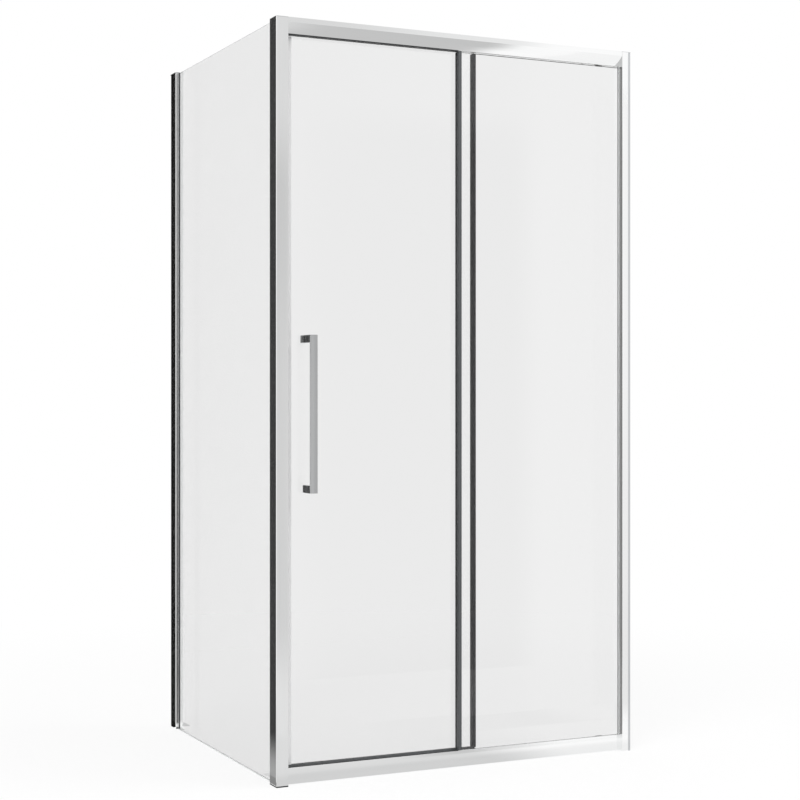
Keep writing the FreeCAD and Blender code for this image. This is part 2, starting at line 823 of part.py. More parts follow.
def rail_pieces():
    """The rail that carries the door, the one that guides it, and their screws and slot fillers."""
    ceiling = "top_rail_height - profile_wall"
    top = profile(
        "top_rail_blank",
        "YZ_Plane",
        ("left + post_width", "front", "top_rail_start"),
        "rail_length",
        [
            ("nose_lip", "0"),
            ("fixed_slot", "0"),
            ("fixed_slot", "rail_slot_depth"),
            ("fixed_slot_end", "rail_slot_depth"),
            ("fixed_slot_end", "0"),
            ("track_edge", "0"),
            ("track_edge", "ledge_thickness"),
            ("track_wall", "ledge_thickness"),
            ("track_wall", ceiling),
            ("rail_rear", ceiling),
            ("rail_rear", "0"),
            ("post_depth", "0"),
            ("post_depth", "top_rail_height"),
            ("rail_setback", "top_rail_height"),
            ("rail_setback", "nose_foot", "nose_radius"),
        ],
        [
            [
                ("nose_lip", "rail_slot_depth + profile_wall"),
                ("fixed_slot_end", "rail_slot_depth + profile_wall"),
                ("fixed_slot_end", ceiling),
                ("rail_setback + profile_wall", ceiling),
                ("rail_setback + profile_wall", "nose_foot"),
                ("nose_lip", "nose_foot"),
            ]
        ],
    )
    bottom = profile(
        "bottom_rail_blank",
        "YZ_Plane",
        ("left + post_width", "front", "0"),
        "rail_length",
        [
            ("bottom_rail_setback", "0"),
            ("post_depth", "0"),
            ("post_depth", "rear_lip_height"),
            ("rail_rear", "rear_lip_height"),
            ("rail_rear", "rail_floor"),
            ("bottom_rail_box", "rail_floor"),
            ("bottom_rail_box", "bottom_rail_height"),
            ("fixed_slot_end", "bottom_rail_height"),
            ("fixed_slot_end", "slot_floor"),
            ("fixed_slot", "slot_floor"),
            ("fixed_slot", "bottom_rail_height"),
            ("bottom_rail_setback", "bottom_rail_height", "bottom_rail_bow"),
        ],
        [
            rectangle(
                "bottom_rail_setback + profile_wall",
                "bottom_boss_height",
                "bottom_rail_box - profile_wall",
                "slot_floor - profile_wall",
            )
        ],
    )
    left_end = "left + post_width"
    right_end = "left + front_jamb_start"
    top_port = ("front + top_port_setback", "top_rail_start + top_port_height")
    ports = {
        "top_left": (left_end, *top_port),
        "top_right": (right_end, *top_port),
        "bottom_left": (left_end, "front + left_port_setback", "bottom_port_height"),
        "bottom_right": (right_end, "front + right_port_setback", "bottom_port_height"),
    }
    screws = []
    tools = {"top": [], "bottom": []}
    for port, (end, y, z) in ports.items():
        rail, side = port.split("_")
        if side == "left":
            head_x = f"{end} - profile_wall"
            hole_x = f"{end} - overrun"
            inward = 1
        else:
            head_x = f"{end} + jamb_wall"
            hole_x = f"{end} - rail_screw_length"
            inward = -1
        screws.append(screw(f"rail_screw_{port}", "rail_screw_length", (head_x, y, z), "x", inward))
        tools[rail].append(
            rod(f"rail_port_{port}", "screw_hole", "rail_screw_length + overrun", (hole_x, y, z), "x")
        )
    for index, (start, _) in enumerate(bumper_spans()):
        at = (
            f"left + {start} + bumper_length / 2",
            "front + track_wall / 2 + track_edge / 2",
            "top_rail_start - overrun",
        )
        tools["top"].append(
            rod(f"ledge_hole_{index}", "screw_hole", "ledge_thickness + 2 * overrun", at, "z")
        )
    keep(cut("top_rail", top, tools["top"]))
    keep(cut("bottom_rail", bottom, tools["bottom"]))
    keep(group("rail_screws", screws))
    filler_length = "fixed_panel_start - post_width"
    keep(
        block(
            "top_slot_filler",
            (filler_length, "slot_width", "filler_depth + top_filler_show"),
            (left_end, "front + fixed_slot", "top_rail_start - top_filler_show"),
        )
    )
    keep(
        block(
            "bottom_slot_filler",
            (filler_length, "slot_width", "filler_depth"),
            (left_end, "front + fixed_slot", "bottom_rail_height - filler_depth"),
        )
    )


def bumper_spans():
    """The start of each bumper along the rail, with its name."""
    return [
        ("roller_left - wheel_radius - bumper_gap - bumper_length", "closing"),
        ("roller_right + door_travel + wheel_radius + bumper_gap", "opening"),
    ]


def bumper_pieces():
    """The rubber blocks on the roller track that stop the door at each end, and their screws."""
    bumpers = []
    screws = []
    for start, name in bumper_spans():
        body = block(
            f"{name}_bumper_blank",
            ("bumper_length", "track_edge - track_wall - 2 * bumper_side_gap", "bumper_height"),
            (f"left + {start}", "front + track_wall + bumper_side_gap", "track_top"),
        )
        x = f"left + {start} + bumper_length / 2"
        y = "front + track_wall / 2 + track_edge / 2"
        hole = rod(f"{name}_bumper_hole", "screw_hole", "bumper_screw_length", (x, y, "top_rail_start"), "z")
        bumpers.append(cut(f"{name}_bumper", body, [hole]))
        screws.append(screw(f"{name}_bumper_screw", "bumper_screw_length", (x, y, "top_rail_start"), "z", 1))
    keep(group("door_bumpers", bumpers))
    keep(group("bumper_screws", screws))


def fixed_pane_pieces():
    """The fixed front pane, its three gaskets, and the profile and lip seal on its free edge."""
    pane_left = "fixed_panel_start + edge_wall"
    pane_right = "front_jamb_start + front_slot_depth - glass_gasket"
    pane_low = "slot_floor + glass_gasket"
    pane_high = "top_rail_start + rail_slot_depth - glass_gasket"
    keep(
        block(
            "fixed_glass",
            (f"{pane_right} - ({pane_left})", "glass_thickness", f"{pane_high} - ({pane_low})"),
            (f"left + {pane_left}", "front + fixed_plane", pane_low),
        )
    )
    gasket_x = "left + fixed_panel_start"
    gasket_length = "front_jamb_start - fixed_panel_start"
    gasket_depth = "(rail_slot_depth + gasket_show)"
    keep(
        profile(
            "fixed_gasket_top",
            "YZ_Plane",
            (gasket_x, "front + fixed_slot", "pane_top"),
            gasket_length,
            lid("slot_width", gasket_depth, "glass_gasket"),
        )
    )
    keep(
        profile(
            "fixed_gasket_bottom",
            "YZ_Plane",
            (gasket_x, "front + fixed_slot", "slot_floor"),
            gasket_length,
            trough("slot_width", gasket_depth, "glass_gasket"),
        )
    )
    keep(
        profile(
            "fixed_gasket_jamb",
            "XY_Plane",
            ("left + front_jamb_start - gasket_show", "front + fixed_slot", "pane_bottom"),
            "pane_top - pane_bottom",
            hook("(front_slot_depth + gasket_show)", "slot_width", "glass_gasket"),
        )
    )
    edge_depth = "(glass_thickness + 2 * edge_wall)"
    edge = profile(
        "fixed_edge_profile",
        "XY_Plane",
        ("left + fixed_panel_start", "front + fixed_plane - edge_wall", "pane_bottom"),
        "pane_top - pane_bottom",
        clasp("fixed_edge_width", edge_depth, "edge_wall"),
    )
    round_edges(edge, "XY_Plane", "edge_rounding", [("0", "0"), ("0", edge_depth)])
    keep(edge)
    lip_reach = "door_plane - lip_gap - fixed_plane - glass_thickness - edge_wall"
    keep(
        profile(
            "fixed_edge_lip",
            "XY_Plane",
            (
                "left + fixed_panel_start + edge_rounding",
                "front + fixed_plane + glass_thickness + edge_wall",
                "door_profile_top + strip_end_gap",
            ),
            "door_side_length - strip_end_gap",
            [
                ("0", "0"),
                ("lip_base_width", "0"),
                ("lip_base_width", "lip_base_height"),
                ("lip_thickness", "lip_base_height"),
                ("lip_thickness", lip_reach),
                ("0", lip_reach),
            ],
        )
    )


def roller_places():
    """The two rollers' places along the door."""
    return {"left": "roller_left", "right": "roller_right"}


def guide_places():
    """The two bottom guides' places along the door."""
    return {"left": "guide_left", "right": "guide_right"}


def door_pane_pieces():
    """The sliding pane with the profiles, magnet strip, lip and wiper on its edges."""
    pane = block(
        "door_glass_blank",
        (
            "door_glass_end - door_glass_start",
            "glass_thickness",
            "door_glass_top - door_glass_bottom",
        ),
        ("left + door_glass_start", "front + door_plane", "door_glass_bottom"),
    )
    through = "glass_thickness + 2 * overrun"
    hole_y = "front + door_plane - overrun"
    tools = [
        rod(
            f"door_roller_hole_{side}",
            "roller_hole_radius",
            through,
            (f"left + {x}", hole_y, "axle_level"),
            "y",
        )
        for side, x in roller_places().items()
    ]
    tools += [
        rod(f"door_{level}", "handle_hole_radius", through, ("left + grip_middle", hole_y, level), "y")
        for level in ("lower_level", "upper_level")
    ]
    keep(cut("door_glass", pane, tools))

    profile_depth = "(glass_thickness + 2 * door_profile_wall)"
    keep(
        profile(
            "door_leading_profile",
            "XY_Plane",
            ("left + door_leading", "front + door_face", "door_profile_top"),
            "door_side_length",
            clasp("leading_width", profile_depth, "door_profile_wall"),
        )
    )
    shoulder = "strip_width / 2 - strip_nose_width / 2"
    nose = "door_strip - strip_base"
    keep(
        profile(
            "door_magnet_strip",
            "XY_Plane",
            ("left + door_leading - door_strip", "front + strip_front", "door_profile_top"),
            "door_side_length",
            [
                ("0", shoulder),
                (nose, shoulder),
                (nose, "0"),
                ("door_strip", "0"),
                ("door_strip", "strip_width"),
                (nose, "strip_width"),
                (nose, f"strip_width - ({shoulder})"),
                ("0", f"strip_width - ({shoulder})"),
            ],
        )
    )
    trailing_depth = "(trailing_nose + glass_thickness + door_profile_wall)"
    slot_back = "trailing_width - door_profile_wall"
    trailing = profile(
        "door_trailing_profile",
        "XY_Plane",
        ("left + door_trailing - trailing_width", "front + door_plane - trailing_nose", "door_profile_top"),
        "door_side_length",
        [
            ("0", "0"),
            ("trailing_width", "0"),
            ("trailing_width", trailing_depth),
            ("0", trailing_depth),
            ("0", f"{trailing_depth} - door_profile_wall"),
            (slot_back, f"{trailing_depth} - door_profile_wall"),
            (slot_back, "trailing_nose"),
            ("0", "trailing_nose"),
        ],
        [rectangle("door_profile_wall", "door_profile_wall", slot_back, "trailing_nose - door_profile_wall")],
    )
    round_edges(trailing, "XY_Plane", "edge_rounding", [("0", "0"), ("trailing_width", "0")])
    keep(trailing)
    lip_reach = "door_plane - trailing_nose - fixed_plane - glass_thickness - lip_gap"
    fin_left = "lip_base_width / 2 - lip_thickness / 2"
    fin_right = "lip_base_width / 2 + lip_thickness / 2"
    keep(
        profile(
            "door_trailing_lip",
            "XY_Plane",
            (
                "left + door_trailing - trailing_width / 2 - lip_base_width / 2",
                f"front + door_plane - trailing_nose - ({lip_reach})",
                "door_profile_top",
            ),
            "door_side_length",
            [
                ("0", f"{lip_reach} - lip_base_height"),
                (fin_left, f"{lip_reach} - lip_base_height"),
                (fin_left, "0"),
                (fin_right, "0"),
                (fin_right, f"{lip_reach} - lip_base_height"),
                ("lip_base_width", f"{lip_reach} - lip_base_height"),
                ("lip_base_width", lip_reach),
                ("0", lip_reach),
            ],
        )
    )
    bottom = profile(
        "door_bottom_profile_blank",
        "YZ_Plane",
        ("left + door_leading", "front + door_face", "door_bottom"),
        "door_trailing - door_leading",
        trough(profile_depth, "door_profile_height", "door_profile_wall"),
    )
    bolt_holes = [
        rod(
            f"door_bolt_hole_{name}",
            "screw_hole",
            "door_profile_wall + 2 * overrun",
            (x, "front + door_rear - overrun", "guide_bolt_level"),
            "y",
        )
        for name, x in guide_bolt_places().items()
    ]
    keep(cut("door_bottom_profile", bottom, bolt_holes))
    wiper_front = "bottom_rail_box + wiper_front_gap"
    fin_height = "door_bottom - wiper_thickness - rail_floor - wiper_gap"
    wiper_depth = f"door_rear - ({wiper_front})"
    keep(
        profile(
            "door_bottom_wiper",
            "YZ_Plane",
            ("left + door_leading", f"front + {wiper_front}", "rail_floor + wiper_gap"),
            "door_trailing - door_leading",
            [
                ("0", "0"),
                ("wiper_thickness", "0"),
                ("wiper_thickness", fin_height),
                (wiper_depth, fin_height),
                (wiper_depth, f"{fin_height} + wiper_thickness"),
                ("0", f"{fin_height} + wiper_thickness"),
            ],
        )
    )


def guide_bolt_places():
    """The places along the door of the bolts that hold the bottom guides' housings."""
    reach = "housing_width / 2 + housing_ear / 2"
    return {
        f"{side}_{end}": f"left + {x} {sign} ({reach})"
        for side, x in guide_places().items()
        for end, sign in (("near", "-"), ("far", "+"))
    }


def handle_pieces():
    """The flat bar on two square stand-offs, and what clamps it through the glass."""
    grip = profile(
        "handle_grip",
        "XY_Plane",
        ("left + grip_left", "front + standoff_front - grip_thickness", "grip_bottom"),
        "grip_length",
        rectangle("0", "0", "grip_width", "grip_thickness"),
    )
    round_edges(grip, "XY_Plane", "grip_rounding", [("0", "0"), ("grip_width", "0")])
    keep(grip)
    stud_hole = "stud_radius + screw_clearance"
    inner_lengths = {"lower": "inner_cap_length", "upper": "knob_length"}
    inner_depths = {"lower": "inner_cap_depth", "upper": "knob_grip_depth"}
    inner_names = {"lower": "handle_inner_cap", "upper": "handle_inner_knob"}
    gaskets = []
    bushes = []
    studs = []
    for end in ("lower", "upper"):
        level = f"{end}_level"
        low = f"{level} - standoff_height / 2"
        standoff = block(
            f"handle_standoff_{end}_blank",
            ("grip_width", "standoff_length", "standoff_height"),
            ("left + grip_left", "front + standoff_front", low),
        )
        stud_at = ("left + grip_middle", "front + door_plane - stud_reach", level)
        stud_length = f"stud_reach + glass_thickness + handle_gasket + {inner_depths[end]}"
        bore = rod(f"handle_bore_{end}", stud_hole, f"{stud_length} + screw_clearance", stud_at, "y")
        keep(cut(f"handle_standoff_{end}", standoff, [bore]))
        inner = profile(
            f"{inner_names[end]}_blank",
            "YZ_Plane",
            ("left + grip_left", "front + inner_front", low),
            "grip_width",
            rectangle("0", "0", inner_lengths[end], "standoff_height"),
        )
        round_edges(
            inner,
            "YZ_Plane",
            "grip_rounding",
            [(inner_lengths[end], "0"), (inner_lengths[end], "standoff_height")],
        )
        inner_bore = rod(
            f"handle_inner_bore_{end}", stud_hole, f"{stud_length} + screw_clearance", stud_at, "y"
        )
        keep(cut(inner_names[end], inner, [inner_bore]))
        studs.append(rod(f"handle_stud_{end}", "stud_radius", stud_length, stud_at, "y"))
        pad_size = (
            "grip_width - 2 * gasket_inset",
            "handle_gasket",
            "standoff_height - 2 * gasket_inset",
        )
        for face, y in (("outer", "door_plane - handle_gasket"), ("inner", "door_rear")):
            pad_at = ("left + grip_left + gasket_inset", f"front + {y}", f"{low} + gasket_inset")
            pad_blank = block(f"handle_gasket_{end}_{face}_blank", pad_size, pad_at)
            pad_hole = rod(
                f"handle_gasket_{end}_{face}_hole",
                stud_hole,
                "handle_gasket + 2 * overrun",
                ("left + grip_middle", f"front + {y} - overrun", level),
                "y",
            )
            gaskets.append(cut(f"handle_gasket_{end}_{face}", pad_blank, [pad_hole]))
        bush_at = ("left + grip_middle", "front + door_plane", level)
        bush_blank = rod(
            f"handle_bush_{end}_blank", "handle_hole_radius - bush_clearance", "glass_thickness", bush_at, "y"
        )
        bush_bore = rod(f"handle_bush_{end}_bore", stud_hole, "glass_thickness", bush_at, "y")
        bushes.append(cut(f"handle_bush_{end}", bush_blank, [bush_bore]))
    keep(group("handle_gaskets", gaskets))
    keep(group("handle_bushes", bushes))
    keep(group("handle_studs", studs))


def roller_pieces():
    """The two rollers that carry the door: each an axle clamped to the glass, with a wheel on a bearing."""
    bushes = []
    nuts = []
    clips = []
    for side, place_along in roller_places().items():
        x = f"left + {place_along}"
        thread_length = "collar_thickness + glass_thickness"
        collar_at = (x, "front + door_plane - collar_thickness", "axle_level")
        journal_at = (x, "front + clip_front", "axle_level")
        collar = rod(f"roller_collar_{side}", "collar_radius", "collar_thickness", collar_at, "y")
        thread = rod(f"roller_thread_{side}", "thread_radius", thread_length, collar_at, "y")
        journal_length = "door_plane - clip_front"
        journal = rod(f"roller_journal_{side}", "journal_radius", journal_length, journal_at, "y")
        keep(join(f"roller_axle_{side}", [journal, collar, thread]))

        clip_blank = rod(f"roller_clip_{side}_blank", "clip_radius", "clip_thickness", journal_at, "y")
        clip_bore = rod(
            f"roller_clip_{side}_bore", "journal_radius + screw_clearance", "clip_thickness", journal_at, "y"
        )
        clips.append(cut(f"roller_clip_{side}", clip_blank, [clip_bore]))
        bush_at = (x, "front + door_plane", "axle_level")
        bush_blank = rod(
            f"roller_bush_{side}_blank",
            "roller_hole_radius - bush_clearance",
            "glass_thickness",
            bush_at,
            "y",
        )
        bush_bore = rod(
            f"roller_bush_{side}_bore", "thread_radius + screw_clearance", "glass_thickness", bush_at, "y"
        )
        bushes.append(cut(f"roller_bush_{side}", bush_blank, [bush_bore]))
        nut_at = (x, "front + door_rear", "axle_level")
        nuts.append(rod(f"roller_nut_{side}", "nut_radius", "nut_thickness", nut_at, "y"))

        wheel_at = (x, "front + wheel_front", "axle_level")
        bearing_blank = rod(f"roller_bearing_{side}_blank", "bearing_radius", "wheel_width", wheel_at, "y")
        bearing_bore = rod(
            f"roller_bearing_{side}_bore", "journal_radius + journal_clearance", "wheel_width", wheel_at, "y"
        )
        keep(cut(f"roller_bearing_{side}", bearing_blank, [bearing_bore]))
        wheel_blank = rod(f"roller_wheel_{side}_blank", "wheel_radius", "wheel_width", wheel_at, "y")
        wheel_bore = rod(f"roller_wheel_{side}_bore", "bearing_radius", "wheel_width", wheel_at, "y")
        keep(cut(f"roller_wheel_{side}", wheel_blank, [wheel_bore]))
    keep(group("roller_bushes", bushes))
    keep(group("roller_nuts", nuts))
    keep(group("roller_clips", clips))


def guide_pieces():
    """The bottom guides: a shoe that rides on the rail's rear lip and lifts inside a housing on the door."""
    base_width = "housing_width + 2 * housing_ear"
    housing_height = "housing_ceiling + housing_wall - housing_bottom"
    housing_depth = "housing_cover + housing_wall - door_back"
    for side, place_along in guide_places().items():
        middle = f"left + {place_along}"
        shoe_left = f"{middle} - shoe_width / 2"
        blade = profile(
            f"bottom_guide_blade_{side}",
            "YZ_Plane",
            (shoe_left, "front", "0"),
            "shoe_width",
            [
                ("shoe_front", "shoe_bottom"),
                ("shoe_front + shoe_leg", "shoe_bottom"),
                ("shoe_front + shoe_leg", "bridge_bottom"),
                ("plate_front", "bridge_bottom"),
                ("plate_front", "shoe_bottom"),
                ("plate_rear", "shoe_bottom"),
                ("plate_rear", "shoe_top"),
                ("plate_front", "shoe_top"),
                ("plate_front", "bridge_top"),
                ("shoe_front", "bridge_top"),
            ],
        )
        tab = block(
            f"bottom_guide_tab_{side}",
            ("tab_width", "shoe_leg + tab_reach", "tab_height"),
            (f"{middle} - tab_width / 2", "front + plate_front", "tab_level"),
        )
        keep(join(f"bottom_guide_shoe_{side}", [blade, tab]))

        shell = block(
            f"bottom_guide_shell_{side}",
            ("housing_width", housing_depth, housing_height),
            (f"{middle} - housing_width / 2", "front + door_back", "housing_bottom"),
        )
        ears = block(
            f"bottom_guide_ears_{side}",
            (base_width, "housing_base", "door_profile_top - housing_bottom"),
            (f"{middle} - ({base_width}) / 2", "front + door_back", "housing_bottom"),
        )
        cavity = block(
            f"bottom_guide_cavity_{side}",
            (
                "shoe_width + 2 * housing_gap",
                "housing_cover - housing_inside",
                "housing_ceiling - housing_bottom + overrun",
            ),
            (
                f"{shoe_left} - housing_gap",
                "front + housing_inside",
                "housing_bottom - overrun",
            ),
        )
        window = block(
            f"bottom_guide_window_{side}",
            (
                "tab_width + 2 * housing_gap",
                "housing_wall + 2 * overrun",
                "tab_height + release_travel + 2 * housing_gap",
            ),
            (
                f"{middle} - tab_width / 2 - housing_gap",
                "front + housing_cover - overrun",
                "tab_level - housing_gap",
            ),
        )
        tools = [join(f"bottom_guide_room_{side}", [cavity, window])]
        for end in ("near", "far"):
            x = guide_bolt_places()[f"{side}_{end}"]
            tools.append(
                rod(
                    f"bottom_guide_ear_hole_{side}_{end}",
                    "screw_hole",
                    "housing_base + 2 * overrun",
                    (x, "front + door_back - overrun", "guide_bolt_level"),
                    "y",
                )
            )
        outside = join(f"bottom_guide_outside_{side}", [shell, ears])
        keep(cut(f"bottom_guide_housing_{side}", outside, tools))
    bolts = []
    for name, x in guide_bolt_places().items():
        bolt_at = (x, "front + housing_inside", "guide_bolt_level")
        bolts.append(screw(f"bottom_guide_bolt_{name}", "guide_bolt_length", bolt_at, "y", -1))
    keep(group("bottom_guide_bolts", bolts))


corner_pieces()
side_pieces()
front_wall_pieces()
rail_pieces()
bumper_pieces()
fixed_pane_pieces()
door_pane_pieces()
handle_pieces()
roller_pieces()
guide_pieces()
doc.recompute()

for item in doc.Objects:
    if "Invalid" in item.State or "Error" in item.State:
        raise RuntimeError(f"{item.Label} failed: {item.State}")
for piece in finished:
    if piece.Shape.isNull() or not piece.Shape.isValid():
        raise RuntimeError(f"{piece.Label} has no valid shape")

os.makedirs("parts", exist_ok=True)
for piece in finished:
    piece.Shape.exportStep(f"parts/{piece.Label}.step")
    print(piece.Label, len(piece.Shape.Solids), "solids", round(piece.Shape.Volume), "cubic mm")
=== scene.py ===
# %% [markdown]
# A corner shower enclosure in bright metal and clear glass
#
# The enclosure stands in the corner of a bathroom. Its front is a fixed pane with a sliding door behind it,
# and a second fixed pane closes its side. The solid model already has every extrusion, pane and seal at its
# true size, so this lesson dresses it: it gives each finish its own material, models the small pieces that
# a hand or an eye comes close to, and sets up a plain studio round them.

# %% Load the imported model
import json
import math

import bmesh
import bpy
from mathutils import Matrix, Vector


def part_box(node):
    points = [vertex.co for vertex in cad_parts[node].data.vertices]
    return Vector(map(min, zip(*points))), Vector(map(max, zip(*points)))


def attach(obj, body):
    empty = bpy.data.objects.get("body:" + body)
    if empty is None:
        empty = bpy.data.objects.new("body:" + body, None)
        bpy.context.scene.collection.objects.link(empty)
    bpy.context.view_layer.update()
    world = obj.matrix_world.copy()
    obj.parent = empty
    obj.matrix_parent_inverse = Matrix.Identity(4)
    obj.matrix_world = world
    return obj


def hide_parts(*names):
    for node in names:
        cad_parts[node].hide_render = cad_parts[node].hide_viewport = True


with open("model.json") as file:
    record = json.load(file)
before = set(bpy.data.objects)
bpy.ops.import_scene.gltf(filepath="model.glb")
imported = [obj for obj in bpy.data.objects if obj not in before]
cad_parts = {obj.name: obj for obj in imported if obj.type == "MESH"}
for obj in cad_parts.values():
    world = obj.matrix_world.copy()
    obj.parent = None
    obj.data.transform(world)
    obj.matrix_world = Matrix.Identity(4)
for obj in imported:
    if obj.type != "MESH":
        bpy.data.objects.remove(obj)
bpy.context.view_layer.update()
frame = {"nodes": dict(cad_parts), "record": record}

nodes = frame["nodes"]

# %% [markdown]
# Small helpers
#
# A colour is easiest to choose as a hex value, as on a colour card, but the renderer counts light, not card
# values. One function makes that change. A second one adds a shader node, sets it and wires it up in a
# single line, so that each material below reads as a short list of what the surface has. Every finish ends
# in the same three wires, for its colour, its roughness and its relief, and a pattern that runs along a
# piece is given by how wide and how long its marks are.

# %% Helpers for colours, nodes and materials
MM = 0.001
X = 0
Y = 1
Z = 2

# The sockets of a Mix node that blends colours
MIX_SHARE = 0
MIX_FIRST = 6
MIX_SECOND = 7
MIX_RESULT = 2

# The noise that draws the patterns seldom leaves this range
NOISE_LOW = 0.3
NOISE_HIGH = 0.7


def linear(card):
    """Turns a hex colour into the linear values that the shader wants, by the sRGB curve."""
    shares = [int(card[place:place + 2], 16) / 255 for place in (1, 3, 5)]
    light = [share / 12.92 if share <= 0.04045 else ((share + 0.055) / 1.055) ** 2.4 for share in shares]
    return (*light, 1.0)


def add_node(tree, kind, settings, wires):
    """Adds one node. Settings are its own choices, and wires give each socket a value or another socket."""
    node = tree.nodes.new(kind)
    for name, value in settings.items():
        setattr(node, name, value)
    for socket, value in wires.items():
        if isinstance(value, bpy.types.NodeSocket):
            tree.links.new(value, node.inputs[socket])
        else:
            node.inputs[socket].default_value = value
    return node


def start_material(name):
    """Gives a new material, its node tree, its shader and its coordinates."""
    material = bpy.data.materials.new(name)
    material.use_nodes = True
    tree = material.node_tree
    shader = tree.nodes["Principled BSDF"]
    place = add_node(tree, "ShaderNodeTexCoord", {}, {})
    return material, tree, shader, place


def wire_finish(tree, shader, tint, polish, relief):
    """Joins the nodes for colour, roughness and relief to the shader."""
    tree.links.new(tint.outputs[MIX_RESULT], shader.inputs["Base Color"])
    tree.links.new(polish.outputs[0], shader.inputs["Roughness"])
    tree.links.new(relief.outputs[0], shader.inputs["Normal"])


def marks(width, length, along):
    """Scales for a pattern whose marks are so wide, and so long along one axis."""
    scales = [1 / width] * 3
    scales[along] = 1 / length
    return scales


print("helpers ready")

# %% [markdown]
# Bright-polished aluminium
#
# The posts, rails and wall profiles are aluminium, pressed through a die, polished and bright anodised. The
# metal looks like a mirror, but two things give it away. The die leaves fine lines along the length, and
# polishing leaves slow waves in the surface, so a straight reflection wanders a little. Real die lines are
# about 0.2 mm apart, too fine to show here, so they are drawn 1.5 mm apart. Uprights and rails run in
# different directions, so one function makes the same finish for either.

# %% Polished aluminium
def polished_extrusion(name, along):
    """Bright aluminium whose die lines run along the axis given."""
    line_scales = marks(1.5 * MM, 400 * MM, along)
    wave_scales = marks(18 * MM, 350 * MM, along)
    smoothest = 0.06
    roughest = 0.13
    line_share = 0.06
    relief_depth = 0.05 * MM
    material, tree, shader, place = start_material(name)
    line_place = add_node(tree, "ShaderNodeMapping", {},
                          {"Vector": place.outputs["Object"], "Scale": line_scales})
    wave_place = add_node(tree, "ShaderNodeMapping", {},
                          {"Vector": place.outputs["Object"], "Scale": wave_scales})
    lines = add_node(tree, "ShaderNodeTexNoise", {},
                     {"Vector": line_place.outputs[0], "Scale": 1.0, "Detail": 1.0})
    waves = add_node(tree, "ShaderNodeTexNoise", {},
                     {"Vector": wave_place.outputs[0], "Scale": 1.0, "Detail": 1.0})
    tint = add_node(tree, "ShaderNodeMix", {"data_type": "RGBA"},
                    {MIX_SHARE: waves.outputs[0],
                     MIX_FIRST: linear("#F7F8F8"), MIX_SECOND: linear("#FDFDFD")})
    polish = add_node(tree, "ShaderNodeMapRange", {},
                      {"Value": lines.outputs[0], "From Min": NOISE_LOW, "From Max": NOISE_HIGH,
                       "To Min": smoothest, "To Max": roughest})
    both = add_node(tree, "ShaderNodeMath", {"operation": "MULTIPLY_ADD"},
                    {0: lines.outputs[0], 1: line_share, 2: waves.outputs[0]})
    relief = add_node(tree, "ShaderNodeBump", {},
                      {"Strength": 0.25, "Distance": relief_depth, "Height": both.outputs[0]})
    wire_finish(tree, shader, tint, polish, relief)
    shader.inputs["Metallic"].default_value = 1.0
    return material


upright_metal = polished_extrusion("polished_aluminium_upright", Z)
level_metal = polished_extrusion("polished_aluminium_level", X)
print("made", upright_metal.name, "and", level_metal.name)

# %% [markdown]
# Satin anodised strips and channels
#
# The strips that edge the door and the free edge of the fixed pane are aluminium too, but etched satin and
# dyed dark grey in the anodising bath. On the upright strips that grey is made darker still, and on the
# door's strip almost black, which is painted shade, so they draw two dark lines down the glass. The channels
# on the walls and the strip on the door's closing edge get the same satin without the dye. The dye sits in
# the oxide skin over the metal, so a dark strip is part metal, part pigment. All of them show the die lines
# faintly, drawn 1.2 mm apart, about six times as coarse as they are.

# %% Satin anodised aluminium
def satin_anodised(name, along, dark, light, metal_share):
    """Satin aluminium, dyed or plain, whose die lines run along the axis given."""
    line_scales = marks(1.2 * MM, 300 * MM, along)
    smoothest = 0.3
    roughest = 0.4
    relief_depth = 0.02 * MM
    material, tree, shader, place = start_material(name)
    line_place = add_node(tree, "ShaderNodeMapping", {},
                          {"Vector": place.outputs["Object"], "Scale": line_scales})
    lines = add_node(tree, "ShaderNodeTexNoise", {},
                     {"Vector": line_place.outputs[0], "Scale": 1.0, "Detail": 1.0})
    tint = add_node(tree, "ShaderNodeMix", {"data_type": "RGBA"},
                    {MIX_SHARE: lines.outputs[0], MIX_FIRST: linear(dark), MIX_SECOND: linear(light)})
    polish = add_node(tree, "ShaderNodeMapRange", {},
                      {"Value": lines.outputs[0], "From Min": NOISE_LOW, "From Max": NOISE_HIGH,
                       "To Min": smoothest, "To Max": roughest})
    relief = add_node(tree, "ShaderNodeBump", {},
                      {"Strength": 0.2, "Distance": relief_depth, "Height": lines.outputs[0]})
    wire_finish(tree, shader, tint, polish, relief)
    shader.inputs["Metallic"].default_value = metal_share
    return material


# The upright strip and the door's strip are darker copies of the level strip's grey: the extra dark is
# painted shade.
shaded_dark_upright = satin_anodised("dark_anodised_upright_painted_shade", Z, "#545658", "#606264", metal_share=0.5)
shaded_dark_door = satin_anodised("dark_anodised_door_painted_shade", Z, "#1E1F20", "#262728", metal_share=0.9)
dark_level = satin_anodised("dark_anodised_level", X, "#6A6C6E", "#767879", metal_share=0.5)
wall_metal = satin_anodised("satin_anodised_channel", Z, "#C4C6C8", "#CED0D2", metal_share=0.9)
edge_metal = satin_anodised("satin_anodised_edge", Z, "#F0F1F1", "#F6F6F6", metal_share=0.4)
print("made five satin metals")
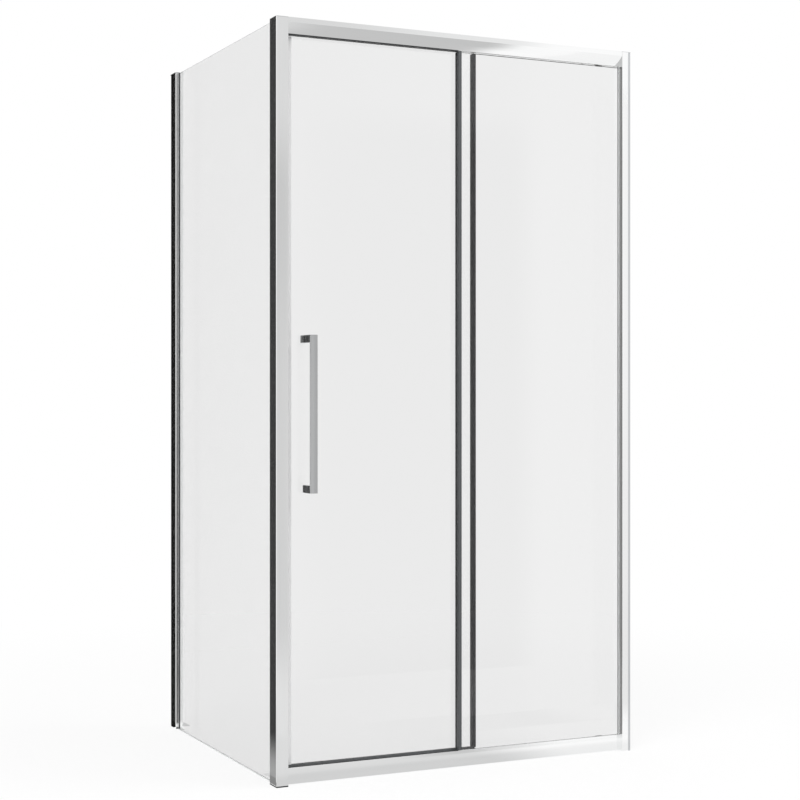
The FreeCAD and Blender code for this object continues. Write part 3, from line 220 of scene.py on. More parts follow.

# %% [markdown]
# Plated handle metal
#
# The handle is solid brass with a satin plating, a shade darker than the polished frame. The bar was brushed
# along its length before plating, which leaves short, fine scratches. They are about 0.1 mm wide and are
# drawn 0.6 mm wide. The posts, too short to brush, were buffed, and their plating is given a dark grey that
# is painted shade, so the bar stands out against them.

# %% Satin plating
def satin_plating(name, dark, light, smoothest, roughest):
    """Brushed or buffed brass under plating: two close colours and a range of roughness."""
    scratch_scales = marks(0.6 * MM, 60 * MM, Z)
    relief_depth = 0.02 * MM
    material, tree, shader, place = start_material(name)
    scratch_place = add_node(tree, "ShaderNodeMapping", {},
                             {"Vector": place.outputs["Object"], "Scale": scratch_scales})
    scratches = add_node(tree, "ShaderNodeTexNoise", {},
                         {"Vector": scratch_place.outputs[0], "Scale": 1.0, "Detail": 2.0})
    tint = add_node(tree, "ShaderNodeMix", {"data_type": "RGBA"},
                    {MIX_SHARE: scratches.outputs[0], MIX_FIRST: linear(dark), MIX_SECOND: linear(light)})
    polish = add_node(tree, "ShaderNodeMapRange", {},
                      {"Value": scratches.outputs[0], "From Min": NOISE_LOW, "From Max": NOISE_HIGH,
                       "To Min": smoothest, "To Max": roughest})
    relief = add_node(tree, "ShaderNodeBump", {},
                      {"Strength": 0.15, "Distance": relief_depth, "Height": scratches.outputs[0]})
    wire_finish(tree, shader, tint, polish, relief)
    shader.inputs["Metallic"].default_value = 1.0
    return material


handle_metal = satin_plating("brushed_plated_brass", "#CCCDCE", "#D6D7D8", smoothest=0.16, roughest=0.26)
# The posts take a dark copy of the handle's plating, which is painted shade.
shaded_post_metal = satin_plating("plated_brass_painted_shade", "#6C6D6E", "#767778", smoothest=0.06, roughest=0.1)
print("made", handle_metal.name, "and", shaded_post_metal.name)

# %% [markdown]
# Toughened glass
#
# The panes are 6 mm float glass, cut, ground along the edges and toughened. A clean pane over a white ground
# is almost invisible, and only takes a little light away. The rollers of the toughening furnace leave a slow
# wave of about 300 mm in its face. The ground edges are matt and paler than the clear face, so the material
# finds them by the way they face: on a pane that is thin along y, a face that doesn't look along y is an
# edge. The grit of the grinding wheel is about 0.1 mm and is drawn as 0.8 mm.

# %% Clear glass
def toughened_glass(name, thin, clear):
    """Clear glass with ground edges, for a pane that is thin along the axis given."""
    wave_length = 300 * MM
    grit_size = 0.8 * MM
    facing_limit = 0.9
    smoothest_edge = 0.3
    roughest_edge = 0.45
    relief_depth = 0.05 * MM
    material, tree, shader, place = start_material(name)
    facing = add_node(tree, "ShaderNodeSeparateXYZ", {}, {0: place.outputs["Normal"]})
    across = add_node(tree, "ShaderNodeMath", {"operation": "ABSOLUTE"}, {0: facing.outputs[thin]})
    edge = add_node(tree, "ShaderNodeMath", {"operation": "LESS_THAN"},
                    {0: across.outputs[0], 1: facing_limit})
    wave_place = add_node(tree, "ShaderNodeMapping", {},
                          {"Vector": place.outputs["Object"], "Scale": marks(wave_length, wave_length, Z)})
    wave = add_node(tree, "ShaderNodeTexNoise", {},
                    {"Vector": wave_place.outputs[0], "Scale": 1.0, "Detail": 0.0})
    grit_place = add_node(tree, "ShaderNodeMapping", {},
                          {"Vector": place.outputs["Object"], "Scale": marks(grit_size, grit_size, Z)})
    grit = add_node(tree, "ShaderNodeTexNoise", {},
                    {"Vector": grit_place.outputs[0], "Scale": 1.0, "Detail": 1.0})
    tint = add_node(tree, "ShaderNodeMix", {"data_type": "RGBA"},
                    {MIX_SHARE: edge.outputs[0], MIX_FIRST: linear(clear), MIX_SECOND: linear("#C9CECC")})
    ground = add_node(tree, "ShaderNodeMapRange", {},
                      {"Value": grit.outputs[0], "From Min": NOISE_LOW, "From Max": NOISE_HIGH,
                       "To Min": smoothest_edge, "To Max": roughest_edge})
    polish = add_node(tree, "ShaderNodeMath", {"operation": "MULTIPLY"},
                      {0: edge.outputs[0], 1: ground.outputs[0]})
    relief = add_node(tree, "ShaderNodeBump", {},
                      {"Strength": 0.3, "Distance": relief_depth, "Height": wave.outputs[0]})
    wire_finish(tree, shader, tint, polish, relief)
    shader.inputs["IOR"].default_value = 1.52
    shader.inputs["Transmission Weight"].default_value = 1.0
    return material


front_glass = toughened_glass("toughened_glass_front", Y, "#F8F8F8")
return_glass = toughened_glass("toughened_glass_side", X, "#FFFFFF")
print("made", front_glass.name, "and", return_glass.name)

# %% [markdown]
# Plastics and rubber
#
# The seals are pressed from soft PVC, grey where they wipe and clear where they only bed the glass. The foot
# and slot covers are moulded in dark ABS, the rollers and guide shoes are white nylon, and the stops are
# rubber. None of them shines much, and each one shows the fine bloom or grain of its mould. That grain is
# 0.1 to 0.3 mm on the real pieces and is drawn two to eight times as coarse. The cover in the bottom rail
# lies flat under the eye, where even matt plastic gleams, so its own gleam is turned down. The clear gaskets
# in the rails sit in shade in their slots, so they take a whiter, part-mirror copy of the clear PVC, which
# is painted light.

# %% Moulded and pressed plastics
def moulded(name, light, dark, grain_mm, smoothest, roughest, depth_mm):
    """A plastic with a fine mould grain: two close colours, a range of roughness and a shallow relief."""
    grain_size = grain_mm * MM
    material, tree, shader, place = start_material(name)
    grain_place = add_node(tree, "ShaderNodeMapping", {},
                           {"Vector": place.outputs["Object"], "Scale": marks(grain_size, grain_size, Z)})
    grain = add_node(tree, "ShaderNodeTexNoise", {},
                     {"Vector": grain_place.outputs[0], "Scale": 1.0, "Detail": 2.0})
    tint = add_node(tree, "ShaderNodeMix", {"data_type": "RGBA"},
                    {MIX_SHARE: grain.outputs[0], MIX_FIRST: linear(dark), MIX_SECOND: linear(light)})
    polish = add_node(tree, "ShaderNodeMapRange", {},
                      {"Value": grain.outputs[0], "From Min": NOISE_LOW, "From Max": NOISE_HIGH,
                       "To Min": smoothest, "To Max": roughest})
    relief = add_node(tree, "ShaderNodeBump", {},
                      {"Strength": 0.4, "Distance": depth_mm * MM, "Height": grain.outputs[0]})
    wire_finish(tree, shader, tint, polish, relief)
    return material


def set_socket(material, socket, value):
    """Sets one value on a finished material's shader."""
    material.node_tree.nodes["Principled BSDF"].inputs[socket].default_value = value


# Light and dark colour, grain in mm, least and most roughness, depth of the grain in mm
seal_plastic = moulded("soft_grey_pvc", "#B4B6B7", "#A6A8AA", 0.8, 0.38, 0.5, 0.05)
clear_plastic = moulded("clear_soft_pvc", "#F0F1F1", "#E6E8E8", 0.8, 0.35, 0.48, 0.05)
# The side gaskets take a darker copy of the grey PVC: the extra darkness is painted shade.
shaded_gasket_plastic = moulded("grey_pvc_painted_shade", "#66696B", "#5C5F61", 0.8, 0.42, 0.55, 0.05)
magnet_plastic = moulded("magnet_filled_pvc", "#8F9294", "#808385", 0.8, 0.42, 0.55, 0.05)
dark_plastic = moulded("dark_moulded_abs", "#2C2D2F", "#222325", 0.6, 0.4, 0.55, 0.06)
stop_rubber = moulded("black_stop_rubber", "#2A2A2B", "#1E1E1F", 1.0, 0.65, 0.8, 0.1)
white_nylon = moulded("white_moulded_nylon", "#ECEBE6", "#E2E1DB", 1.0, 0.35, 0.48, 0.05)
sill_plastic = moulded("matt_sill_abs", "#2C2D2F", "#222325", 0.6, 0.7, 0.85, 0.06)
set_socket(sill_plastic, "Specular IOR Level", 0.1)
# The rail gaskets take a whiter, part-mirror copy of the clear PVC: painted light over the shade in their
# slots.
lit_clear_plastic = moulded("clear_pvc_painted_light", "#F8F8F8", "#F0F1F1", 0.8, 0.2, 0.3, 0.02)
set_socket(lit_clear_plastic, "Metallic", 0.7)
print("made nine plastics")

# %% [markdown]
# Metallised caps and stainless screws
#
# The caps on the posts are moulded in ABS and then plated, so they shine like the metal below them, with the
# faint ripple of a moulding. The screws, axles and nuts are turned or pressed stainless steel, a little
# warmer and duller. Both are the moulded finish above with a metal's mirror.

# %% Plated plastic and stainless steel
plated_plastic = moulded("plated_abs", "#E6E7E8", "#DCDDDE", 6.0, 0.08, 0.16, 0.03)
turned_steel = moulded("turned_stainless_steel", "#C9C7C4", "#B8B6B3", 0.5, 0.22, 0.34, 0.02)
for metal in (plated_plastic, turned_steel):
    set_socket(metal, "Metallic", 1.0)
    print("made", metal.name)

# %% [markdown]
# Which piece takes which finish
#
# The record of the solid model names a material slot for every node. A table from slot to material dresses
# most of them. A second table names the nodes that differ: the rails take the metal whose lines run level,
# the side pane takes the glass that is thin along x, and a few strips and seals have a finish of their own.

# %% Dress the nodes
finishes = {
    "bright_aluminium": upright_metal,
    "satin_aluminium": wall_metal,
    "dark_aluminium": shaded_dark_upright,
    "chrome_plate": handle_metal,
    "clear_glass": front_glass,
    "grey_seal": seal_plastic,
    "magnet_strip": magnet_plastic,
    "cap_plastic": plated_plastic,
    "dark_plastic": dark_plastic,
    "bumper_rubber": stop_rubber,
    "stainless_steel": turned_steel,
    "white_nylon": white_nylon,
}
own_finishes = {
    "top_rail": level_metal,
    "bottom_rail": level_metal,
    "door_bottom_profile": dark_level,
    "door_trailing_profile": shaded_dark_door,
    "fixed_edge_lip": dark_plastic,
    "door_trailing_lip": dark_plastic,
    "door_leading_profile": edge_metal,
    "bottom_slot_filler": sill_plastic,
    "fixed_gasket_top": lit_clear_plastic,
    "fixed_gasket_bottom": lit_clear_plastic,
    "fixed_gasket_jamb": clear_plastic,
    "side_gaskets": shaded_gasket_plastic,
    "side_bottom_seal": clear_plastic,
    "side_glass": return_glass,
}


def dress(piece, material):
    """Puts one material on a piece in place of what it had."""
    piece.data.materials.clear()
    piece.data.materials.append(material)


for subpart in frame["record"]["subparts"]:
    node_name = subpart["node"]
    dress(nodes[node_name], own_finishes.get(node_name, finishes[subpart["material_slot"]]))

# %% [markdown]
# Tools for the pieces made by hand
#
# The solid model leaves out what an eye sees close up: the finely eased edges of the handle and the recess
# in a screw's head. Those pieces are modelled here, in the same three moves each time. A primitive is added
# at its size, parts of it are picked by their place and shaped, and the finished piece takes over from the
# solid one.

# %% Helpers for new pieces
NEAR = 0.01 * MM
PARALLEL = 0.001
SMOOTH_BELOW = math.radians(35)
SHARP_ABOVE = math.radians(60)
FACING = 0.9
ROUND_STEPS = 5
EASED_STEPS = 2


def add_block(name, low, high):
    """Adds a block between two corners, with its place in its mesh."""
    bpy.ops.object.select_all(action="DESELECT")
    bpy.ops.mesh.primitive_cube_add(size=1.0, location=(Vector(low) + Vector(high)) / 2)
    block = bpy.context.object
    block.name = name
    block.scale = Vector(high) - Vector(low)
    bpy.ops.object.transform_apply(location=True, rotation=True, scale=True)
    return block


def pick(piece, kind, wanted):
    """In edit mode, selects only the edges or faces that pass a test."""
    bpy.ops.mesh.select_mode(type=kind)
    bpy.ops.mesh.select_all(action="DESELECT")
    mesh = bmesh.from_edit_mesh(piece.data)
    for part in (mesh.edges if kind == "EDGE" else mesh.faces):
        part.select_set(wanted(part))
    bmesh.update_edit_mesh(piece.data)


def runs_along(edge, axis):
    """Whether an edge is parallel to the axis given."""
    first, last = (corner.co for corner in edge.verts)
    return abs(abs((last - first).normalized()[axis]) - 1) < PARALLEL


def is_sharp(edge):
    """Whether the two faces of an edge still meet at a corner."""
    return edge.calc_face_angle() > SHARP_ABOVE


def take_over(piece, material, body, node_name):
    """Shades a finished piece, dresses it and puts it in the place of the solid piece that it stands for."""
    bpy.ops.object.select_all(action="DESELECT")
    piece.select_set(True)
    bpy.context.view_layer.objects.active = piece
    bpy.ops.object.shade_smooth_by_angle(angle=SMOOTH_BELOW)
    dress(piece, material)
    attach(piece, body)
    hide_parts(node_name)
    print(piece.name, "has", len(piece.data.polygons), "faces")


print("modelling helpers ready")

# %% [markdown]
# The handle's bar
#
# The bar is a flat strip of brass, 4 mm thick. Its two front edges are rounded so that they feel soft, and
# every other edge is just broken with a file. A bevel in edit mode does both: a wide one with several
# segments on the two front edges first, then a narrow one on all edges that are still sharp.

# %% Handle bar
BAR_ROUND = 1.6 * MM
BAR_EASE = 0.4 * MM

low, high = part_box("handle_grip")
bar_front = low.y
bar = add_block("handle_bar", low, high)
bpy.ops.object.mode_set(mode="EDIT")
pick(bar, "EDGE", lambda edge: runs_along(edge, Z) and edge.verts[0].co.y < bar_front + NEAR)
bpy.ops.mesh.bevel(offset=BAR_ROUND, segments=ROUND_STEPS, affect="EDGES")
pick(bar, "EDGE", is_sharp)
bpy.ops.mesh.bevel(offset=BAR_EASE, segments=EASED_STEPS, affect="EDGES")
bpy.ops.object.mode_set(mode="OBJECT")
take_over(bar, handle_metal, "door", "handle_grip")

# %% [markdown]
# The handle's posts, knob and cap
#
# Two square posts hold the bar off the glass. Behind the glass a knob, level with the upper post, pulls the
# door from inside, and a low cap covers the lower stud. All four are short lengths of the same square bar,
# so each is a block with its long edges eased. A post is cut clean where it meets the bar, and steps in by
# half a millimetre at the foot, above the gasket. The knob and the cap have a rounded free end in its place.

# %% Handle posts
POST_EASE = 0.8 * MM
POST_EASE_STEPS = 3
FOOT_HEIGHT = 1.2 * MM
FOOT_STEP = 0.5 * MM

for end in ("upper", "lower"):
    low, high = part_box("handle_standoff_" + end)
    post = add_block("handle_post_" + end, low, high)
    bpy.ops.object.mode_set(mode="EDIT")
    pick(post, "EDGE", lambda edge: runs_along(edge, Y))
    bpy.ops.mesh.bevel(offset=POST_EASE, segments=POST_EASE_STEPS, affect="EDGES")
    pick(post, "FACE", lambda face: face.normal.y > FACING)
    bpy.ops.mesh.extrude_region_move(TRANSFORM_OT_translate={"value": (0, -FOOT_HEIGHT, 0)})
    bpy.ops.mesh.inset(thickness=FOOT_STEP, use_even_offset=True)
    bpy.ops.mesh.extrude_region_move(TRANSFORM_OT_translate={"value": (0, FOOT_HEIGHT, 0)})
    bpy.ops.object.mode_set(mode="OBJECT")
    take_over(post, shaded_post_metal, "door", "handle_standoff_" + end)

# %% Inner knob and cap
KNOB_ROUND = 1.6 * MM
KNOB_EASE = 0.5 * MM

for name in ("handle_inner_knob", "handle_inner_cap"):
    low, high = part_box(name)
    free_end = high.y
    knob = add_block(name.replace("handle", "door"), low, high)
    bpy.ops.object.mode_set(mode="EDIT")
    pick(knob, "EDGE", lambda edge: all(corner.co.y > free_end - NEAR for corner in edge.verts))
    bpy.ops.mesh.bevel(offset=KNOB_ROUND, segments=ROUND_STEPS, affect="EDGES")
    pick(knob, "EDGE", is_sharp)
    bpy.ops.mesh.bevel(offset=KNOB_EASE, segments=EASED_STEPS, affect="EDGES")
    bpy.ops.object.mode_set(mode="OBJECT")
    take_over(knob, handle_metal, "door", name)

# %% [markdown]
# Pan-head screws
#
# The jambs, the stops and the bottom guides are fixed with small pan-head screws. A screw is modelled once,
# with its head up: a disc gets a rounded rim, the face below it is inset and drawn out to a shank, and two
# tapered wedges are taken out of the top to leave the cross for the screwdriver. The thread is inside the
# metal, so it is left out.

# %% Model a screw
HEAD_RADIUS = 2.7 * MM
HEAD_HEIGHT = 1.8 * MM
HEAD_SIDES = 32
RIM_ROUND = 0.9 * MM
SHANK_RADIUS = 1.75 * MM
TIP_EASE = 0.4 * MM
RECESS_FOOT = 0.7 * MM
RECESS_TOP = 2.2 * MM
RECESS_TAPER = 0.55
ARM_REACH = 1.6 * MM
ARM_HALF_WIDTH = 0.4 * MM


def cross_wedge(name, half_length, half_width):
    """One arm of the cross recess, narrower at its foot."""
    wedge = add_block(name, (-half_length, -half_width, RECESS_FOOT), (half_length, half_width, RECESS_TOP))
    bpy.ops.object.mode_set(mode="EDIT")
    pick(wedge, "FACE", lambda face: face.normal.z < -FACING)
    bpy.ops.transform.resize(value=(RECESS_TAPER, RECESS_TAPER, 1.0), center_override=(0, 0, 0))
    bpy.ops.object.mode_set(mode="OBJECT")
    return wedge


def pan_screw(name, shank):
    """A pan-head screw at the origin whose head looks up."""
    bpy.ops.object.select_all(action="DESELECT")
    bpy.ops.mesh.primitive_cylinder_add(vertices=HEAD_SIDES, radius=HEAD_RADIUS, depth=HEAD_HEIGHT)
    piece = bpy.context.object
    piece.name = name
    bpy.ops.object.mode_set(mode="EDIT")
    bpy.ops.transform.translate(value=(0, 0, HEAD_HEIGHT / 2))
    pick(piece, "EDGE", lambda edge: all(corner.co.z > HEAD_HEIGHT - NEAR for corner in edge.verts))
    bpy.ops.mesh.bevel(offset=RIM_ROUND, segments=ROUND_STEPS, affect="EDGES")
    pick(piece, "FACE", lambda face: face.normal.z < -FACING)
    bpy.ops.mesh.inset(thickness=HEAD_RADIUS - SHANK_RADIUS)
    bpy.ops.mesh.extrude_region_move(TRANSFORM_OT_translate={"value": (0, 0, -shank)})
    pick(piece, "EDGE", lambda edge: all(corner.co.z < NEAR - shank for corner in edge.verts))
    bpy.ops.mesh.bevel(offset=TIP_EASE, segments=EASED_STEPS, affect="EDGES")
    bpy.ops.object.mode_set(mode="OBJECT")
    for half_length, half_width in ((ARM_REACH, ARM_HALF_WIDTH), (ARM_HALF_WIDTH, ARM_REACH)):
        wedge = cross_wedge("screw_wedge", half_length, half_width)
        recess = piece.modifiers.new("recess", "BOOLEAN")
        recess.operation = "DIFFERENCE"
        recess.object = wedge
        bpy.context.view_layer.objects.active = piece
        bpy.ops.object.modifier_apply(modifier="recess")
        bpy.data.objects.remove(wedge)
    print(name, "has", len(piece.data.polygons), "faces")
    return piece


jamb_screw = pan_screw("jamb_screw", 5.0 * MM)
stop_screw = pan_screw("stop_screw", 9.0 * MM)
guide_screw = pan_screw("guide_screw", 3.1 * MM)

# %% [markdown]
# Setting the screws
#
# Each screw is copied to its place and turned to look the right way. The places come from the boxes of the
# solid screws. Where a box holds several screws, the outer ones lie a head's radius inside its ends, and in
# the bottom guides the screws sit in the two ears of each housing.

# %% Set the screws
def set_screw(model, name, seat, facing, body, node_name):
    """Copies a screw, sits its head on a place, turns it to look along a direction and lets it take over."""
    bpy.ops.object.select_all(action="DESELECT")
    model.select_set(True)
    bpy.context.view_layer.objects.active = model
    bpy.ops.object.duplicate(linked=False)
    copy = bpy.context.object
    copy.name = name
    copy.location = seat
    copy.rotation_euler = Vector(facing).to_track_quat("Z", "Y").to_euler()
    bpy.ops.object.transform_apply(location=True, rotation=True, scale=True)
    take_over(copy, turned_steel, body, node_name)


for node_name, axis, facing in (("side_jamb_screws", X, (1, 0, 0)), ("front_jamb_screws", Y, (0, 1, 0))):
    low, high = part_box(node_name)
    seat = (low + high) / 2
    seat[axis] = high[axis] - HEAD_HEIGHT
    for place, level in (("low", low.z + HEAD_RADIUS), ("middle", seat.z), ("high", high.z - HEAD_RADIUS)):
        screw_name = node_name.replace("screws", "screw_" + place)
        set_screw(jamb_screw, screw_name, (seat.x, seat.y, level), facing, "frame", node_name)

low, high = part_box("bumper_screws")
middle = (low + high) / 2
for place, x in (("closing", low.x + HEAD_RADIUS), ("opening", high.x - HEAD_RADIUS)):
    seat = (x, middle.y, low.z + HEAD_HEIGHT)
    set_screw(stop_screw, "stop_screw_" + place, seat, (0, 0, -1), "frame", "bumper_screws")

low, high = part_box("bottom_guide_bolts")
middle = (low + high) / 2
inset = low.x + HEAD_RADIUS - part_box("bottom_guide_housing_left")[0].x
for side in ("left", "right"):
    housing_low, housing_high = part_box("bottom_guide_housing_" + side)
    for ear, x in (("a", housing_low.x + inset), ("b", housing_high.x - inset)):
        seat = (x, high.y - HEAD_HEIGHT, middle.z)
        set_screw(guide_screw, f"guide_screw_{side}_{ear}", seat, (0, 1, 0), "door", "bottom_guide_bolts")

for model in (jamb_screw, stop_screw, guide_screw):
    bpy.data.objects.remove(model)
print("twelve screws set")

# %% [markdown]
# The camera
#
# The camera stands at half the enclosure's height, to the left of it and level, about five metres away, so
# the uprights stay parallel. A long lens keeps the perspective calm. The frame is square, and a very small
# shift sets the horizon where it belongs.

# %% Camera
LENS_MM = 75.86
SENSOR_MM = 36.0
FRAME_SHIFT = -0.0025
STAND = (-2.1268, -4.5213, 1.0096)
LEVEL_TILT = math.radians(90)
TURN_RIGHT = math.radians(-25.43)

camera_data = bpy.data.cameras.new("studio_camera")
camera_data.lens = LENS_MM
camera_data.sensor_width = SENSOR_MM
camera_data.shift_y = FRAME_SHIFT
camera = bpy.data.objects.new("studio_camera", camera_data)
camera.location = STAND
camera.rotation_euler = (LEVEL_TILT, 0, TURN_RIGHT)
bpy.context.scene.collection.objects.link(camera)
bpy.context.scene.camera = camera
print("camera at", [round(v, 3) for v in camera.location])

# %% [markdown]
# The studio
#
# Mirror metal only shows what stands round it. The room here is white, as a photographer's cove is, and the
# light comes from it and from two large soft lamps. The camera and the metal see the white at strength 1.
# Through a pane it is a little lower, so that the glass reads as a pale grey. A pane has two faces, so a ray
# that has gone through more than two has crossed both panes where the door laps the fixed one, and there the
# white stays at 1.

# %% World
ONE_PANE = 0.91
TWO_PANES = 1.0
FACES_OF_ONE_PANE = 2.5
ROOM_LIGHT = 0.6


def white_for_eyes(tree):
    """Gives the share of rays that see plain white, from camera, metal or glass, and the level they see."""
    rays = add_node(tree, "ShaderNodeLightPath", {}, {})
    direct = add_node(tree, "ShaderNodeMath", {"operation": "ADD", "use_clamp": True},
                      {0: rays.outputs["Is Camera Ray"], 1: rays.outputs["Is Glossy Ray"]})
    shown = add_node(tree, "ShaderNodeMath", {"operation": "ADD", "use_clamp": True},
                     {0: direct.outputs[0], 1: rays.outputs["Is Transmission Ray"]})
    twice = add_node(tree, "ShaderNodeMath", {"operation": "GREATER_THAN"},
                     {0: rays.outputs["Transmission Depth"], 1: FACES_OF_ONE_PANE})
    through = add_node(tree, "ShaderNodeMapRange", {},
                       {"Value": twice.outputs[0], "To Min": ONE_PANE, "To Max": TWO_PANES})
    level = add_node(tree, "ShaderNodeMapRange", {},
                     {"Value": rays.outputs["Is Transmission Ray"],
                      "To Min": 1.0, "To Max": through.outputs[0]})
    return shown.outputs[0], level.outputs[0]


world = bpy.data.worlds.new("white_cove")
bpy.context.scene.world = world
world.use_nodes = True
sky = world.node_tree
sky.nodes.clear()
shown, level = white_for_eyes(sky)
lighting = add_node(sky, "ShaderNodeBackground", {}, {"Color": linear("#FFFFFF"), "Strength": ROOM_LIGHT})
white = add_node(sky, "ShaderNodeBackground", {}, {"Color": linear("#FFFFFF"), "Strength": level})
choice = add_node(sky, "ShaderNodeMixShader", {}, {0: shown, 1: lighting.outputs[0], 2: white.outputs[0]})
add_node(sky, "ShaderNodeOutputWorld", {}, {"Surface": choice.outputs[0]})
bpy.context.scene.view_settings.view_transform = "Standard"
print("world set")

# %% [markdown]
# The floor
#
# The enclosure stands on a tray or on tiles, but here a plain pale floor is enough. It is white to the eye
# like the room. Close to the enclosure a small share of it is matt and takes light, so the object's shadow
# falls on it, and further out that share fades away.

# %% Floor
FLOOR_SIZE = 60.0
SHADOW_NEAR = 0.6
SHADOW_FAR = 3.0
WHITE_SHARE_NEAR = 0.85


def white_floor():
    """Pale floor: white to the eye, with a matt share near the object that keeps the object's shadow."""
    material = bpy.data.materials.new("white_floor")
    material.use_nodes = True
    tree = material.node_tree
    tree.nodes.clear()
    shown, level = white_for_eyes(tree)
    place = add_node(tree, "ShaderNodeTexCoord", {}, {})
    far = add_node(tree, "ShaderNodeVectorMath", {"operation": "LENGTH"}, {0: place.outputs["Object"]})
    plain = add_node(tree, "ShaderNodeMapRange", {"interpolation_type": "SMOOTHSTEP"},
                     {"Value": far.outputs[1], "From Min": SHADOW_NEAR, "From Max": SHADOW_FAR,
                      "To Min": WHITE_SHARE_NEAR, "To Max": 1.0})
    share = add_node(tree, "ShaderNodeMath", {"operation": "MULTIPLY"}, {0: shown, 1: plain.outputs[0]})
    matt = add_node(tree, "ShaderNodeBsdfDiffuse", {}, {"Color": linear("#F4F4F4")})
    glow = add_node(tree, "ShaderNodeEmission", {}, {"Color": linear("#FFFFFF"), "Strength": level})
    mix = add_node(tree, "ShaderNodeMixShader", {},
                   {0: share.outputs[0], 1: matt.outputs[0], 2: glow.outputs[0]})
    add_node(tree, "ShaderNodeOutputMaterial", {}, {"Surface": mix.outputs[0]})
    return material


bpy.ops.object.select_all(action="DESELECT")
bpy.ops.mesh.primitive_plane_add(size=FLOOR_SIZE, location=(0, 0, 0))
floor = bpy.context.object
floor.name = "studio_floor"
dress(floor, white_floor())
print("floor laid")

# %% [markdown]
# Cards for the metal to mirror
#
# In a white room mirror metal turns white and loses its shape. A photographer hangs dark and grey cards just
# outside the picture, so that each face of a profile mirrors a tone of its own: dark for the faces that look
# left, light grey rising to white for the faces that look forward. A card must never be seen itself, not
# even through a pane, so its material is clear until the light has been mirrored at least once, which the
# glossy depth counts. A card's tone can change along it, and its edges can fade out softly. Each such change
# names its axis, the two places between which it happens, and the share at either place.

# %% A card and its tone
STANDING = (0.0, 2.3)
TALL = (0.0, 2.8)
ON_FLOOR = (0.002, 0.003)
OVER_FLOOR = (0.004, 0.005)
MIRRORED_ONCE = 0.5


def card_tone(name, tone, ramps=(), fades=()):
    """A plain glow for mirrored light. Ramps change its tone along an axis, and fades soften its edges."""
    material = bpy.data.materials.new(name)
    material.use_nodes = True
    tree = material.node_tree
    tree.nodes.clear()
    place = add_node(tree, "ShaderNodeTexCoord", {}, {})
    parts = add_node(tree, "ShaderNodeSeparateXYZ", {}, {0: place.outputs["Object"]})
    rays = add_node(tree, "ShaderNodeLightPath", {}, {})
    mirrored = add_node(tree, "ShaderNodeMath", {"operation": "GREATER_THAN"},
                        {0: rays.outputs["Glossy Depth"], 1: MIRRORED_ONCE})
    levels = {"tone": tone, "share": mirrored.outputs[0]}
    for goal, changes in (("tone", ramps), ("share", fades)):
        for axis, first, last, first_share, last_share in changes:
            ramp = add_node(tree, "ShaderNodeMapRange", {"interpolation_type": "SMOOTHSTEP"},
                            {"Value": parts.outputs[axis], "From Min": first, "From Max": last,
                             "To Min": first_share, "To Max": last_share})
            product = add_node(tree, "ShaderNodeMath", {"operation": "MULTIPLY"},
                               {0: ramp.outputs[0], 1: levels[goal]})
            levels[goal] = product.outputs[0]
    glow = add_node(tree, "ShaderNodeEmission", {}, {"Color": linear("#FFFFFF"), "Strength": levels["tone"]})
    clear = add_node(tree, "ShaderNodeBsdfTransparent", {}, {})
    mix = add_node(tree, "ShaderNodeMixShader", {},
                   {0: levels["share"], 1: clear.outputs[0], 2: glow.outputs[0]})
    add_node(tree, "ShaderNodeOutputMaterial", {}, {"Surface": mix.outputs[0]})
    return material


def hang_card(name, material, x, y, z):
    """A flat card with a range along each axis, seen by mirrored light alone."""
    low, high = zip(x, y, z)
    card = add_block(name, low, high)
    dress(card, material)
    card.visible_camera = False
    card.visible_diffuse = False
    card.visible_shadow = False
    return card


print("card helpers ready")

# %% [markdown]
# The cards on the left
#
# Seen from the camera, the left faces of the post and of the rear jamb each mirror a narrow upright zone,
# and the side pane mirrors the wide zone between them. A narrow dark card stands close beside each face,
# because the nearer a card is, the sharper it is mirrored, and a strip on the floor carries it on for the
# foot of the face. The posts of the handle mirror the wide zone through the side pane, so the dark card
# there is seen only by light that has gone through glass, and a light one only by the pane's own gleam. The
# narrow front of the rear jamb sees the pane from behind, so a dark strip hangs just outside the pane, with
# a light one in front of it for the pane itself.

# %% Cards on the left
BESIDE_FRAME = (-0.576, -0.575)
FLOOR_STRIP = (-0.576, -0.5435)
WIDE_ZONE = (-0.4, 3.0)

dark_post = card_tone("dark_post", 0.045, [(Z, 0.02, 0.13, 8.0, 1.0)])
dark_post_floor = card_tone("dark_post_floor", 0.25)
dark_jamb = card_tone("dark_jamb", 0.011)
dark_strip = card_tone("dark_strip", 0.03)
for name, tone, x, y, z in (
    ("card_left_post", dark_post, BESIDE_FRAME, (-0.385, -0.293), STANDING),
    ("card_left_post_floor", dark_post_floor, FLOOR_STRIP, (-0.44, -0.293), OVER_FLOOR),
    ("card_left_jamb", dark_jamb, BESIDE_FRAME, (0.492, 0.9), STANDING),
    ("card_left_jamb_floor", dark_jamb, FLOOR_STRIP, (0.425, 0.55), OVER_FLOOR),
    ("card_strip_dark", dark_strip, (-0.575, -0.545), (0.3, 0.301), STANDING),
):
    hang_card(name, tone, x, y, z)

through_tone = card_tone("dark_handle", 0.045)
gleam_tone = card_tone("light_pane", 1.0)
for place, x, z in (("upright", (-0.83, -0.82), (0.0, 3.2)), ("floor", (-0.82, -0.534), ON_FLOOR)):
    through = hang_card("card_through_" + place, through_tone, x, WIDE_ZONE, z)
    through.visible_glossy = False
    gleam = hang_card("card_gleam_" + place, gleam_tone, x, WIDE_ZONE, z)
    gleam.visible_transmission = False
strip_front = hang_card("card_strip_front", gleam_tone, (-0.577, -0.543), (0.298, 0.299), STANDING)
strip_front.visible_transmission = False
print("ten cards hang on the left")

